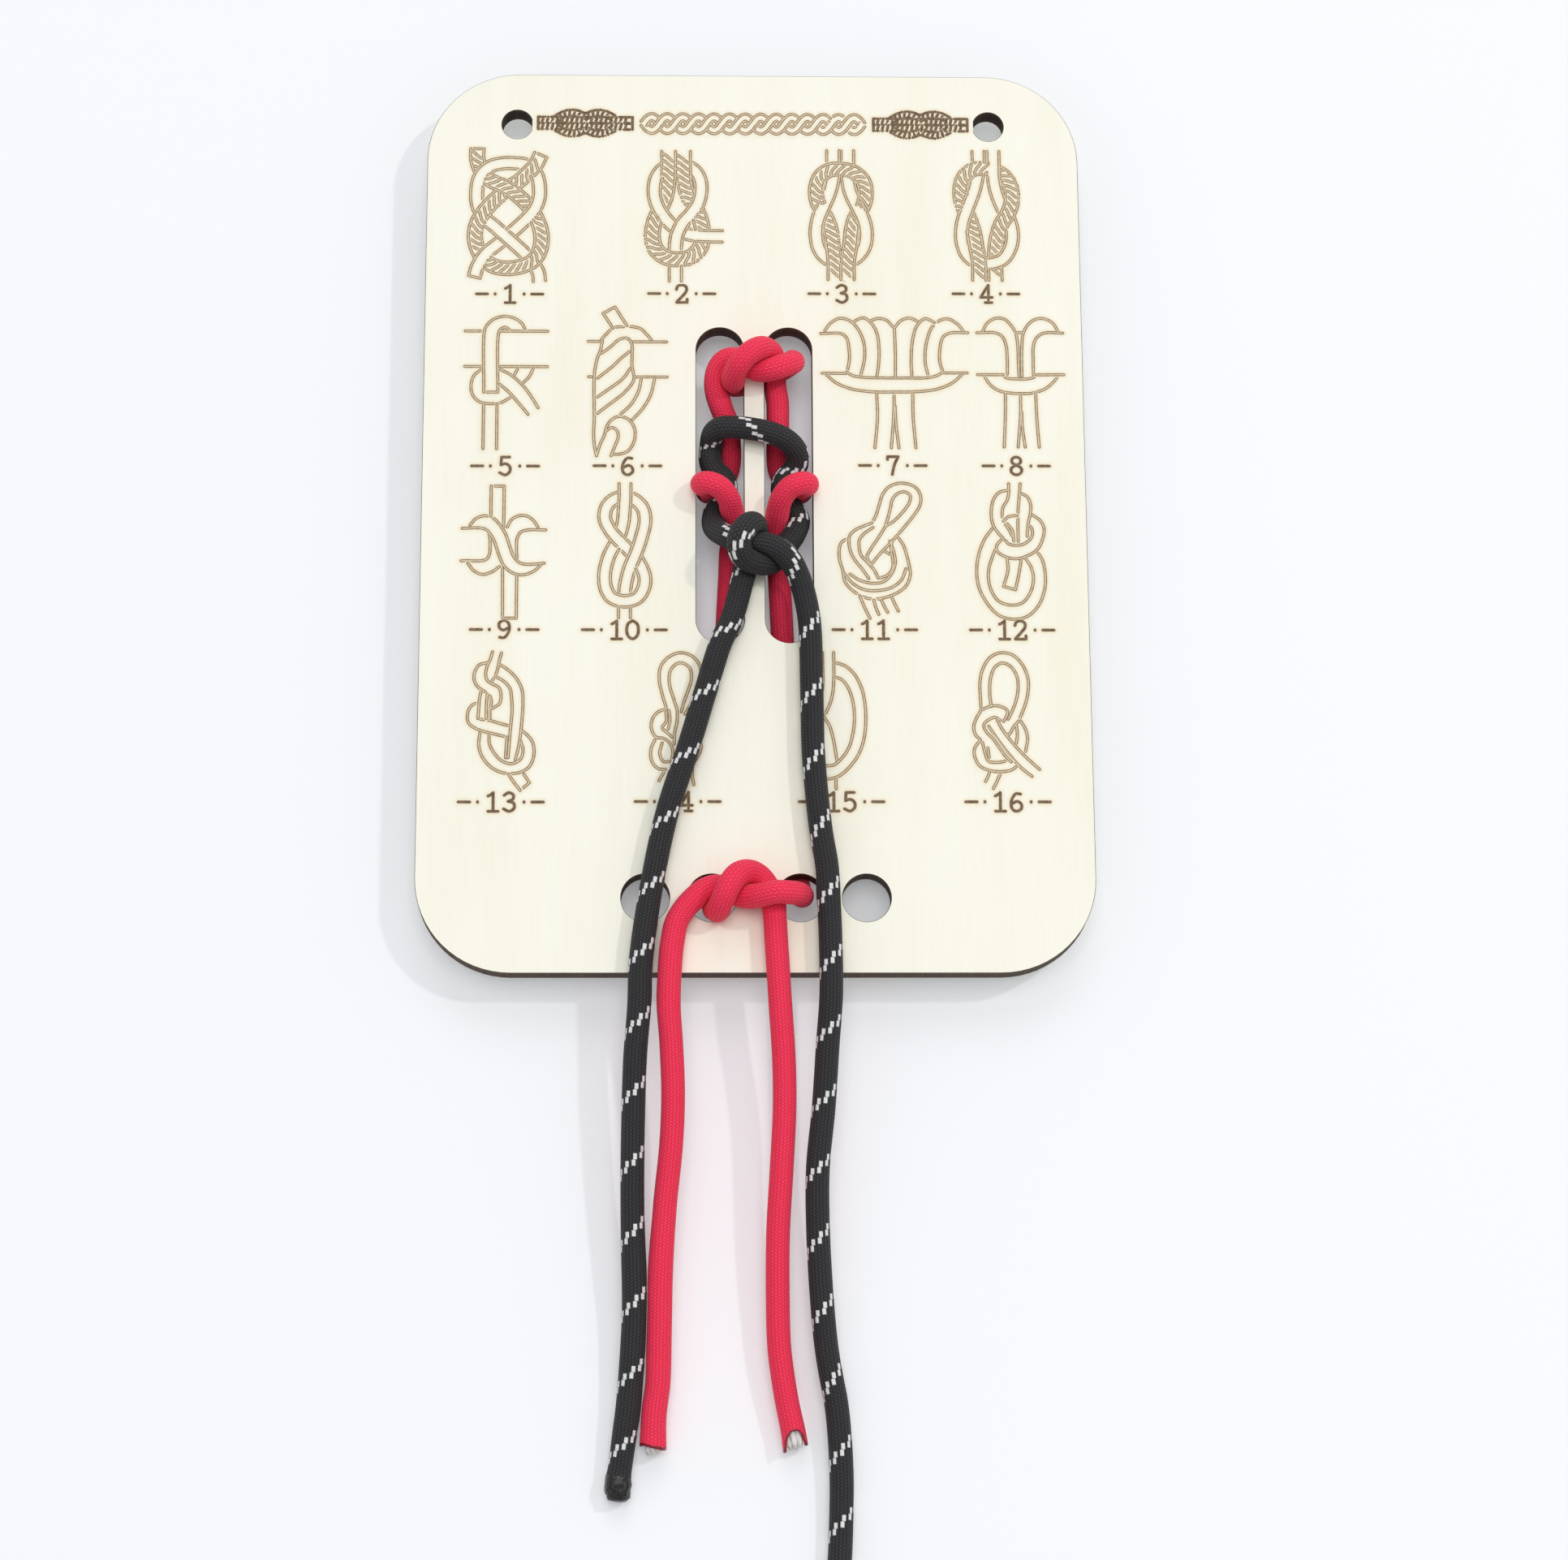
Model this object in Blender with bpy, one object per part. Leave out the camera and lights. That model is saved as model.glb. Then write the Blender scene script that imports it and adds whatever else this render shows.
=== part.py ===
"""Wooden knot tying board with a red and a black practice cord tied to it.

The board lies face up on the strands of red cord that run behind it. Units are metres and +Z is up.
X = 0 and Y = 0 are the middle of the board, +Y runs to its top edge, and Z = 0 is the surface it lies on.
Each cord is one rope. Its knotted middle is held by the board, and its two tails lie free.
"""

import math

import bmesh
import bpy
import numpy as np
from mathutils import Vector

MM = 0.001

# Outline of the board
BOARD_HEIGHT = 160.0 * MM
BOARD_WIDTH = 113.0 * MM
CORNER_RADIUS = 16.0 * MM

# Plies of the board, face veneer on top
FACE_VENEER = 0.7 * MM
CORE_VENEER = 2.0 * MM
BACK_VENEER = 0.7 * MM
GLUE_LINE = 0.3 * MM

# Pair of long slots with a narrow bar left between them
SLOT_WIDTH = 8.2 * MM
SLOT_LENGTH = 56.4 * MM
BAR_WIDTH = 3.5 * MM
SLOT_RISE = 4.9 * MM

# Two small holes near the top corners that the board hangs by
HANG_HOLE_DIAMETER = 5.4 * MM
HANG_HOLE_FROM_SIDE = 15.5 * MM
HANG_HOLE_FROM_TOP = 9.4 * MM

# Row of four cord holes near the bottom edge
CORD_HOLE_DIAMETER = 8.1 * MM
CORD_HOLE_FROM_BOTTOM = 12.7 * MM
INNER_PAIR_SPACING = 14.7 * MM
OUTER_PAIR_SPACING = 36.7 * MM

# Cords
RED_DIAMETER = 3.9 * MM
BLACK_DIAMETER = 3.9 * MM
SEAM_GAP = 0.3 * MM
STRAND_DEPTH = 6.5 * MM
PRESSED_FLAT = 0.39 * MM

# White core of the red cord, which shows in both cut ends
CORE_DIAMETER = 2.0 * MM
CORE_CLEARANCE = 0.3 * MM
CORE_SHOWN_LENGTH = 5.0 * MM
LEFT_CORE_STANDS_OUT = 0.4 * MM
RIGHT_CORE_SET_BACK = 0.8 * MM

# Fineness of the faceted shapes
CORNER_STEPS = 8
SLOT_END_STEPS = 12
HOLE_STEPS = 24
CORE_SIDES = 12
CORD_SIDES_SETTING = 2
KNOT_SAG = 0.05 * MM
TAIL_SAG = 0.20 * MM
SHORTEST_STEP = 0.4 * MM
LONGEST_KNOT_STEP = 5.0 * MM
LONGEST_TAIL_STEP = 9.0 * MM
END_RUN = 0.5 * MM
FIGURES_PER_SPAN = 40

# Heights that follow from the sizes above
BOARD_THICKNESS = FACE_VENEER + CORE_VENEER + BACK_VENEER + 2.0 * GLUE_LINE
FACE_HEIGHT = STRAND_DEPTH + RED_DIAMETER / 2.0 - PRESSED_FLAT

# Routes of the cords in millimetres from the middle of the board's front face: to the right, towards the
# top edge and upwards. A fourth number is the share of its thickness that a pinched cord keeps there.

# Red cord: left tail, from its cut end up to the board
RED_TAIL_LEFT = [
    (-16.8, -157.1, -5.49), (-16.6, -151.4, -5.1), (-16.0, -146.5, -4.69), (-15.8, -138.1, -3.9),
    (-15.6, -128.3, -2.86), (-15.0, -118.2, -1.75), (-14.0, -108.3, -0.61), (-13.7, -100.2, 0.33),
    (-14.0, -92.2, 1.21), (-14.4, -86.1, 1.87), (-14.3, -81.3, 2.25), (-13.8, -75.2, 2.35),
]

# Red cord: over the face between the two inner holes and down through the right one
RED_LOWER_PASS = [
    (-12.8, -71.1, 2.35), (-8.7, -66.5, 2.2, 0.9), (-6.4, -65.8, 1.95, 0.84), (-4.2, -66.5, 2.1, 0.85),
    (-2.3, -67.6, 2.8, 0.9), (-0.7, -68.1, 4.4, 0.97), (0.9, -68.1, 5.9), (3.1, -67.8, 6.7), (5.4, -67.6, 5.5),
    (7.0, -67.2, 2.8, 0.95), (7.6, -66.9, -0.2, 0.9), (7.6, -66.2, -3.0, 0.88), (7.4, -65.0, -5.2, 0.85),
    (7.1, -63.2, -6.3, 0.86), (6.7, -60.0, -6.45, 0.95),
]

# Red cord: behind the board up to the right slot, then up in the slot and over the black leg
RED_RIGHT_LEG = [
    (6.3, -54.0, -6.5), (5.8, -42.0, -6.5), (5.2, -30.0, -6.5), (5.0, -25.0, -6.5), (4.8, -21.5, -6.2),
    (4.6, -17.5, -5.4), (4.4, -13.5, -4.8), (4.2, -9.8, -4.7), (3.95, -6.2, -4.7, 0.95),
    (3.66, -3.7, -3.8, 0.79), (3.68, -1.8, -1.6, 0.79), (3.93, -0.2, 0.9, 0.91), (4.6, 1.4, 2.9),
    (5.9, 2.8, 4.1), (7.2, 3.4, 4.4), (8.35, 3.75, 3.85),
]

# Red cord: round the black leg, behind the board and up to the top of the right slot
RED_RIGHT_TURN = [
    (8.95, 3.95, 2.6, 0.97), (8.72, 4.1, 1.6, 0.82), (8.22, 4.2, 0.6, 0.75), (8.1, 4.35, -0.9, 0.73),
    (8.1, 4.55, -2.8, 0.73), (7.8, 5.0, -4.7, 0.76), (6.8, 6.0, -6.1, 0.82), (5.4, 7.4, -6.55, 0.9),
    (4.4, 9.4, -6.2), (4.1, 11.4, -5.0), (4.1, 14.0, -3.2), (4.1, 17.0, -2.3), (4.05, 20.4, -2.1, 0.97),
    (3.65, 22.8, -2.0, 0.8),
]

# Red cord: over the bar, down through the left slot and back behind the bar
RED_TOP_LOOP = [
    (3.5, 24.6, -1.7, 0.7), (3.58, 25.9, -0.8, 0.7), (3.36, 27.25, 0.85, 0.73), (2.1, 27.95, 3.5, 0.88),
    (0.6, 27.25, 5.75, 0.96), (-1.1, 25.9, 6.6), (-2.5, 24.4, 6.2, 0.97), (-3.45, 23.3, 4.1, 0.88),
    (-3.6, 23.0, 1.6, 0.72), (-3.42, 23.6, -1.4, 0.68), (-3.48, 24.2, -4.2, 0.69),
    (-2.3, 24.9, -6.1, 0.74), (-0.2, 25.5, -6.3, 0.76), (2.4, 26.4, -6.2, 0.76),
    (4.5, 27.1, -5.0, 0.74), (6.15, 27.45, -2.8, 0.7), (6.68, 27.0, -0.2, 0.69),
]

# Red cord: over the bar once more, tucked under its own loop and down the left slot
RED_TOP_TUCK = [
    (6.45, 25.85, 2.35, 0.79), (4.9, 24.7, 3.9, 0.95), (2.9, 24.0, 4.0, 0.97), (0.8, 24.3, 2.85, 0.87),
    (-1.05, 25.5, 2.2, 0.8), (-2.95, 26.7, 1.8, 0.78), (-4.8, 26.8, 1.0, 0.78), (-6.0, 25.7, 0.2, 0.74),
    (-6.55, 23.8, -0.5, 0.7), (-6.4, 21.6, -1.2, 0.77), (-5.6, 19.2, -1.9, 0.92), (-4.6, 16.8, -2.8),
    (-4.2, 14.0, -4.0), (-4.1, 11.4, -5.4), (-4.4, 9.4, -6.35),
]

# Red cord: out behind the black leg, round it and down in the left slot
RED_LEFT_TURN = [
    (-5.4, 7.4, -6.6, 0.9), (-6.8, 6.0, -6.2, 0.82), (-7.8, 5.0, -4.7, 0.76), (-8.1, 4.55, -2.8, 0.73),
    (-8.1, 4.35, -0.9, 0.73), (-8.22, 4.2, 0.6, 0.75), (-8.72, 4.1, 1.6, 0.8), (-8.95, 3.95, 2.6, 0.86),
    (-8.35, 3.75, 3.85, 0.97), (-7.2, 3.4, 4.4), (-5.9, 2.8, 4.1), (-4.6, 1.6, 2.9),
    (-3.9, 0.1, 0.9, 0.88), (-3.62, -1.5, -1.5, 0.76), (-3.66, -3.5, -3.7, 0.78), (-4.05, -6.0, -4.7),
    (-4.2, -9.8, -4.8), (-4.4, -13.5, -4.9), (-4.6, -17.5, -5.4),
]

# Red cord: behind the board down to the left inner hole, up through it, over and under the lower pass
RED_LOWER_LOOP = [
    (-4.8, -21.5, -6.2), (-5.0, -25.0, -6.5), (-5.2, -30.0, -6.5), (-5.8, -42.0, -6.5),
    (-6.3, -54.0, -6.5), (-6.6, -60.0, -6.45, 0.95), (-6.8, -63.8, -6.25, 0.9),
    (-6.9, -66.4, -5.0, 0.87), (-6.95, -68.5, -2.6, 0.85), (-6.9, -69.15, 0.0, 0.83),
    (-6.4, -69.95, 2.3, 0.88), (-6.0, -69.6, 4.6, 0.97), (-5.3, -68.1, 6.3), (-4.3, -66.1, 6.6),
    (-3.0, -64.4, 5.5, 0.97), (-1.3, -63.7, 4.1, 0.93), (0.4, -64.2, 2.9, 0.9), (1.85, -65.9, 2.2, 0.86),
    (2.75, -68.4, 2.1, 0.87), (3.05, -71.6, 2.35),
]

# Red cord: right tail, from the board to its cut end
RED_TAIL_RIGHT = [
    (3.2, -74.4, 2.35), (3.5, -79.3, 2.3), (3.9, -86.1, 1.87), (4.4, -94.2, 0.99), (4.5, -102.3, 0.08),
    (4.0, -112.3, -1.06), (3.4, -122.3, -2.21), (3.3, -132.2, -3.28), (3.5, -140.5, -4.14),
    (4.0, -144.9, -4.54), (4.8, -149.8, -4.98), (5.7, -154.1, -5.28), (6.1, -156.8, -5.47),
]

# Black cord: left tail, from its melted end up to the knot
BLACK_TAIL_LEFT = [
    (-22.6, -164.9, -5.87, 0.72), (-22.5, -163.7, -5.84, 1.1), (-22.5, -162.3, -5.77, 1.12),
    (-22.3, -160.9, -5.7, 0.97), (-22.1, -159.6, -5.63), (-21.5, -154.6, -5.32), (-20.9, -149.7, -4.98),
    (-20.2, -139.9, -4.09), (-20.0, -134.2, -3.49), (-20.2, -124.2, -2.42), (-20.3, -114.2, -1.28),
    (-20.2, -104.2, -0.14), (-19.9, -94.1, 1.0), (-19.3, -86.1, 1.87), (-19.0, -77.9, 2.35),
    (-17.0, -64.2, 2.35), (-14.7, -53.2, 2.35), (-11.2, -42.1, 2.35), (-8.3, -32.2, 2.35),
    (-5.8, -24.0, 2.35), (-4.0, -20.0, 2.35),
]

# Black cord: the left tail's strand round and over the other strand of the half knot
BLACK_KNOT_WRAP = [
    (-2.8, -15.8, 2.35), (-2.1, -12.7, 2.1, 0.84), (-1.5, -10.1, 1.8, 0.74), (-0.9, -7.8, 1.75, 0.7),
    (-0.2, -5.9, 2.1, 0.7), (0.1, -4.6, 3.5, 0.7), (-0.1, -4.1, 5.2, 0.7), (-0.9, -4.5, 6.9, 0.71),
    (-1.9, -5.7, 8.1, 0.76), (-2.7, -7.3, 8.4, 0.8), (-2.8, -8.9, 7.7, 0.76), (-2.1, -10.0, 6.4, 0.72),
    (-0.8, -10.5, 5.3, 0.7), (0.6, -10.55, 4.35, 0.7), (1.8, -10.25, 3.0, 0.71), (3.0, -9.5, 1.6, 0.74),
    (4.2, -8.05, 0.1, 0.79),
    (5.5, -5.9, -0.6, 0.8), (6.9, -3.5, -1.0, 0.82), (7.5, -1.0, -2.0, 0.82),
]

# Black cord: up in the right slot, over both red legs and the bar, and down in the left slot
BLACK_BIGHT = [
    (6.6, 0.8, -2.2, 0.8), (5.3, 2.6, -2.2, 0.73), (4.8, 4.4, -2.2, 0.71), (5.2, 6.3, -2.2, 0.73),
    (6.8, 8.0, -1.9, 0.82), (7.5, 9.8, -0.6), (6.7, 11.2, 0.8), (4.9, 12.4, 2.0), (2.3, 13.3, 2.4),
    (-0.6, 13.9, 2.4), (-3.6, 14.2, 2.4), (-5.6, 14.3, 1.8), (-7.0, 13.9, -0.2, 0.9),
    (-7.4, 12.2, -2.0, 0.9), (-7.5, 9.8, -2.2, 0.9), (-6.8, 8.0, -2.2, 0.82), (-5.2, 6.3, -2.2, 0.73),
    (-4.8, 4.4, -2.2, 0.71), (-5.3, 2.6, -2.2, 0.73), (-6.5, 0.8, -2.1, 0.76),
]

# Black cord: the left leg's strand through the half knot and out to the right
BLACK_KNOT_CROSS = [
    (-7.0, -1.2, -1.5, 0.75), (-6.8, -3.0, 0.0, 0.8), (-5.7, -4.7, 2.1, 0.82), (-4.3, -6.0, 3.9, 0.76),
    (-2.6, -7.0, 4.95, 0.7), (-0.6, -7.35, 5.2, 0.68), (1.65, -7.62, 5.35, 0.71), (3.8, -8.4, 5.2, 0.8),
    (5.9, -10.1, 4.3, 0.92), (7.3, -12.5, 3.1), (8.3, -15.6, 2.4),
]

# Black cord: right tail, from the knot to its melted end
BLACK_TAIL_RIGHT = [
    (9.1, -20.4, 2.35), (9.4, -32.2, 2.35), (9.6, -43.4, 2.35), (10.7, -56.0, 2.35), (11.7, -62.6, 2.35),
    (12.0, -69.3, 2.35), (12.2, -75.9, 2.35), (12.2, -84.1, 2.09), (11.6, -92.2, 1.21),
    (10.9, -102.3, 0.08), (9.9, -112.3, -1.06), (9.9, -122.3, -2.21), (10.4, -132.2, -3.28),
    (11.1, -140.3, -4.12), (11.8, -144.9, -4.54), (12.7, -149.8, -4.99), (13.2, -154.7, -5.33),
    (13.5, -161.4, -5.72), (13.4, -168.0, -5.95), (13.1, -174.6, -6.0), (12.3, -184.5, -6.0),
    (11.4, -194.5, -6.0), (11.0, -204.5, -6.0), (11.3, -214.5, -6.0), (12.0, -224.5, -6.0),
    (12.4, -229.5, -5.95), (12.5, -230.9, -5.9, 0.97), (12.6, -232.3, -5.85, 1.12),
    (12.7, -233.7, -5.85, 1.1), (12.8, -234.9, -5.85, 0.72),
]


def clear_scene():
    """Remove every object, so the script can be run again."""
    for thing in list(bpy.data.objects):
        bpy.data.objects.remove(thing, do_unlink=True)


def make_material(name, colour, roughness, metallic=0.0):
    """Make a plain surface of one colour."""
    material = bpy.data.materials.new(name)
    material.use_nodes = True
    shader = material.node_tree.nodes["Principled BSDF"]
    shader.inputs["Base Color"].default_value = (colour[0], colour[1], colour[2], 1.0)
    shader.inputs["Roughness"].default_value = roughness
    shader.inputs["Metallic"].default_value = metallic
    return material


def add_object(name, data, parent, location=(0.0, 0.0, 0.0)):
    """Put mesh or curve data into the scene under its parent."""
    thing = bpy.data.objects.new(name, data)
    bpy.context.scene.collection.objects.link(thing)
    thing.parent = parent
    thing.location = location
    return thing


def arc(centre_x, centre_y, radius, start, turn, steps):
    """List the points of an arc, both ends included."""
    points = []
    for step in range(steps + 1):
        angle = start + turn * step / steps
        points.append((centre_x + radius * math.cos(angle), centre_y + radius * math.sin(angle)))
    return points


def rounded_rectangle(width, height, radius, steps):
    """List the outline of a rectangle with round corners, anticlockwise."""
    points = []
    side = width / 2.0 - radius
    end = height / 2.0 - radius
    for corner, (x, y) in enumerate(((side, -end), (side, end), (-side, end), (-side, -end))):
        points += arc(x, y, radius, -math.pi / 2.0 + corner * math.pi / 2.0, math.pi / 2.0, steps)
    return points


def slot_outline(x, y, width, length, steps):
    """List the outline of an upright slot with round ends, anticlockwise."""
    radius = width / 2.0
    reach = length / 2.0 - radius
    return arc(x, y + reach, radius, 0.0, math.pi, steps) + arc(x, y - reach, radius, math.pi, math.pi, steps)


def circle_outline(x, y, diameter, steps):
    """List the outline of a round hole, anticlockwise."""
    return arc(x, y, diameter / 2.0, 0.0, 2.0 * math.pi, steps)[:-1]


def prism_mesh(name, outlines, bottom, top):
    """Raise each outline from one height to another, as separate closed prisms in one mesh."""
    shape = bmesh.new()
    for outline in outlines:
        corners = [shape.verts.new((x, y, bottom)) for x, y in outline]
        face = shape.faces.new(corners)
        raised = bmesh.ops.extrude_face_region(shape, geom=[face])
        moved = [item for item in raised["geom"] if isinstance(item, bmesh.types.BMVert)]
        bmesh.ops.translate(shape, verts=moved, vec=(0.0, 0.0, top - bottom))
    bmesh.ops.recalc_face_normals(shape, faces=shape.faces)
    mesh = bpy.data.meshes.new(name)
    shape.to_mesh(mesh)
    shape.free()
    return mesh


def add_cutter(name, mesh, parent, location=(0.0, 0.0, 0.0)):
    """Add a shape that is only cut away from others."""
    cutter = add_object(name, mesh, parent, location)
    cutter.hide_render = True
    cutter.display_type = "WIRE"
    return cutter


def cut(thing, cutter):
    """Cut one shape out of another."""
    modifier = thing.modifiers.new("cut_" + cutter.name, "BOOLEAN")
    modifier.operation = "DIFFERENCE"
    modifier.solver = "EXACT"
    modifier.object = cutter


def board_openings():
    """List the outlines of the slots and holes that go through all plies."""
    slot_x = BAR_WIDTH / 2.0 + SLOT_WIDTH / 2.0
    hang_x = BOARD_WIDTH / 2.0 - HANG_HOLE_FROM_SIDE
    hang_y = BOARD_HEIGHT / 2.0 - HANG_HOLE_FROM_TOP
    row_y = CORD_HOLE_FROM_BOTTOM - BOARD_HEIGHT / 2.0
    outlines = []
    for side in (-1.0, 1.0):
        outlines.append(slot_outline(side * slot_x, SLOT_RISE, SLOT_WIDTH, SLOT_LENGTH, SLOT_END_STEPS))
        outlines.append(circle_outline(side * hang_x, hang_y, HANG_HOLE_DIAMETER, HOLE_STEPS))
        for spacing in (INNER_PAIR_SPACING, OUTER_PAIR_SPACING):
            outlines.append(circle_outline(side * spacing / 2.0, row_y, CORD_HOLE_DIAMETER, HOLE_STEPS))
    return outlines


def build_board(parent):
    """Build the three plies, each with the same slots and holes."""
    spare = GLUE_LINE + BACK_VENEER
    cutter_mesh = prism_mesh("openings", board_openings(), -BOARD_THICKNESS - spare, spare)
    cutter = add_cutter("openings_cutter", cutter_mesh, parent, (0.0, 0.0, FACE_HEIGHT))
    outline = rounded_rectangle(BOARD_WIDTH, BOARD_HEIGHT, CORNER_RADIUS, CORNER_STEPS)
    plies = (
        ("front_veneer", FACE_VENEER, 0.0, (0.87, 0.80, 0.64), 0.62),
        ("core_veneer", CORE_VENEER, FACE_VENEER + GLUE_LINE, (0.16, 0.10, 0.06), 0.75),
        ("back_veneer", BACK_VENEER, FACE_VENEER + CORE_VENEER + 2.0 * GLUE_LINE, (0.80, 0.71, 0.54), 0.66),
    )
    for name, thickness, depth, colour, roughness in plies:
        mesh = prism_mesh(name, [outline], -thickness, 0.0)
        mesh.materials.append(make_material(name, colour, roughness))
        ply = add_object(name, mesh, parent, (0.0, 0.0, FACE_HEIGHT - depth))
        cut(ply, cutter)


def smooth_route(points):
    """Read a smooth curve through the route's points, with the share of thickness at each place."""
    places = [Vector(point[:3]) * MM for point in points]
    shares = [point[3] if len(point) > 3 else 1.0 for point in points]
    padded = [2.0 * places[0] - places[1]] + places + [2.0 * places[-1] - places[-2]]
    curve = []
    for span in range(len(places) - 1):
        a, b, c, d = padded[span:span + 4]
        t0 = 0.0
        t1 = t0 + math.sqrt((b - a).length)
        t2 = t1 + math.sqrt((c - b).length)
        t3 = t2 + math.sqrt((d - c).length)
        for step in range(FIGURES_PER_SPAN):
            share = step / FIGURES_PER_SPAN
            t = t1 + (t2 - t1) * share
            ab = a.lerp(b, (t - t0) / (t1 - t0))
            bc = b.lerp(c, (t - t1) / (t2 - t1))
            cd = c.lerp(d, (t - t2) / (t3 - t2))
            abc = ab.lerp(bc, (t - t0) / (t2 - t0))
            bcd = bc.lerp(cd, (t - t1) / (t3 - t1))
            place = abc.lerp(bcd, (t - t1) / (t2 - t1))
            curve.append((place, shares[span] * (1.0 - share) + shares[span + 1] * share))
    curve.append((places[-1], shares[-1]))
    return curve


class CordRoute:
    """The whole route of one cord, read by the length along it."""

    def __init__(self, points):
        curve = smooth_route(points)
        self.places = np.array([tuple(place) for place, _ in curve])
        self.shares = np.array([share for _, share in curve])
        runs = np.linalg.norm(np.diff(self.places, axis=0), axis=1)
        self.along = np.concatenate([[0.0], np.cumsum(runs)])
        self.length = float(self.along[-1])

    def station(self, index):
        """Length along the cord at which it passes a point of its route."""
        return float(self.along[index * FIGURES_PER_SPAN])

    def read(self, along):
        """Place and share of thickness at each of the given lengths."""
        places = np.stack([np.interp(along, self.along, self.places[:, axis]) for axis in range(3)], 1)
        return places, np.interp(along, self.along, self.shares)

    def steps(self, start, end, sag, longest):
        """Lengths at which a faceted cord needs a ring: close together in tight bends and at a melted tip."""
        fine = np.linspace(start, end, max(8, int((end - start) / (0.25 * MM))))
        places, shares = self.read(fine)
        step = fine[1] - fine[0]
        reach = max(1, int(0.6 * MM / step))
        ways = places[reach:] - places[:-reach]
        ways /= np.linalg.norm(ways, axis=1)[:, None]
        turn = np.arccos(np.clip((ways[reach:] * ways[:-reach]).sum(1), -1.0, 1.0))
        bend = np.full(len(fine), 1.0)
        bend[reach:reach + len(turn)] = reach * step / np.maximum(turn, 1e-5)
        wanted = np.sqrt(8.0 * sag * bend)
        swell = np.abs(np.gradient(shares, step))
        wanted = np.minimum(wanted, 0.15 / np.maximum(swell, 1e-3))
        wanted = np.clip(wanted, SHORTEST_STEP, longest)
        count = np.concatenate([[0.0], np.cumsum(step / wanted[:-1])])
        rings = max(3, int(math.ceil(count[-1])))
        inner = np.interp(np.linspace(0.0, count[-1], rings + 1), count, fine)[1:-1]
        inner = inner[(inner > start + 1.5 * END_RUN) & (inner < end - 1.5 * END_RUN)]
        return np.concatenate([[start, start + END_RUN], inner, [end - END_RUN, end]])


def add_cord(name, route, start, end, diameter, sag, longest, material, parent):
    """Add one stretch of a cord as a round tube with closed ends."""
    places, shares = route.read(route.steps(start, end, sag, longest))
    curve = bpy.data.curves.new(name, "CURVE")
    curve.dimensions = "3D"
    curve.bevel_depth = diameter / 2.0
    curve.bevel_resolution = CORD_SIDES_SETTING
    curve.use_fill_caps = True
    spline = curve.splines.new("POLY")
    spline.points.add(len(places) - 1)
    for point, place, share in zip(spline.points, places, shares):
        point.co = (place[0], place[1], place[2], 1.0)
        point.radius = share
    spline.use_smooth = True
    curve.materials.append(material)
    return add_object(name, curve, parent, (0.0, 0.0, FACE_HEIGHT))


def as_mesh(thing):
    """Turn a cord's tube into a mesh of the same name, so that it can be cut."""
    name = thing.name
    bpy.context.view_layer.update()
    reader = bpy.context.evaluated_depsgraph_get()
    mesh = bpy.data.meshes.new_from_object(thing.evaluated_get(reader))
    parent = thing.parent
    location = thing.location.copy()
    bpy.data.objects.remove(thing, do_unlink=True)
    mesh.name = name
    return add_object(name, mesh, parent, location)


def end_frame(route, at_start):
    """Place of a cord's cut end, and the way it points."""
    inward = 0.5 * MM
    along = np.array([0.0, inward]) if at_start else np.array([route.length, route.length - inward])
    places, _ = route.read(along)
    tip = Vector(places[0])
    return tip, (tip - Vector(places[1])).normalized()


def round_bar_mesh(name, diameter, length, sides):
    """Make a round bar along Z, starting at its own origin."""
    shape = bmesh.new()
    bmesh.ops.create_cone(shape, cap_ends=True, segments=sides, radius1=diameter / 2.0,
                          radius2=diameter / 2.0, depth=length)
    bmesh.ops.translate(shape, verts=shape.verts, vec=(0.0, 0.0, length / 2.0))
    mesh = bpy.data.meshes.new(name)
    shape.to_mesh(mesh)
    shape.free()
    return mesh


def aim(thing, way):
    """Turn a bar's Z axis to the given way."""
    thing.rotation_mode = "QUATERNION"
    thing.rotation_quaternion = way.to_track_quat("Z", "Y")


def add_core(name, sheath, route, at_start, stands_out, material, parent):
    """Hollow out the sheath's cut end and put the core's end into it."""
    tip, way = end_frame(route, at_start)
    tip = tip + Vector((0.0, 0.0, FACE_HEIGHT))
    bottom = tip + way * (stands_out - CORE_SHOWN_LENGTH)
    bore_mesh = round_bar_mesh(name + "_bore", CORE_DIAMETER + 2.0 * CORE_CLEARANCE,
                               CORE_SHOWN_LENGTH + 2.0 * CORE_CLEARANCE + abs(stands_out), CORE_SIDES)
    bore = add_cutter(name + "_bore_cutter", bore_mesh, parent, bottom - way * CORE_CLEARANCE)
    aim(bore, way)
    cut(sheath, bore)
    core_mesh = round_bar_mesh(name, CORE_DIAMETER, CORE_SHOWN_LENGTH, CORE_SIDES)
    core_mesh.materials.append(material)
    core = add_object(name, core_mesh, parent, bottom)
    aim(core, way)
    core.data.shade_smooth()
    core.data.set_sharp_from_angle(angle=math.radians(40.0))


def build_cord(colour, left, middle, right, diameter, material, parent):
    """Add one rope as two free tails and the knotted stretch between them."""
    route = CordRoute(left + middle + right)
    first = route.station(len(left))
    last = route.station(len(left) + len(middle) - 1)
    half = SEAM_GAP / 2.0
    knotted = add_cord(colour + "_cord_knotted", route, first + half, last - half, diameter,
                       KNOT_SAG, LONGEST_KNOT_STEP, material, parent)
    tail_left = add_cord(colour + "_tail_left", route, 0.0, first - half, diameter,
                         TAIL_SAG, LONGEST_TAIL_STEP, material, parent)
    tail_right = add_cord(colour + "_tail_right", route, last + half, route.length, diameter,
                          TAIL_SAG, LONGEST_TAIL_STEP, material, parent)
    print("%s cord: whole length %.1f mm, knotted stretch %.1f mm, left tail %.1f mm, right tail %.1f mm"
          % (colour, route.length / MM, (last - first) / MM, first / MM, (route.length - last) / MM))
    return route, knotted, tail_left, tail_right


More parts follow.
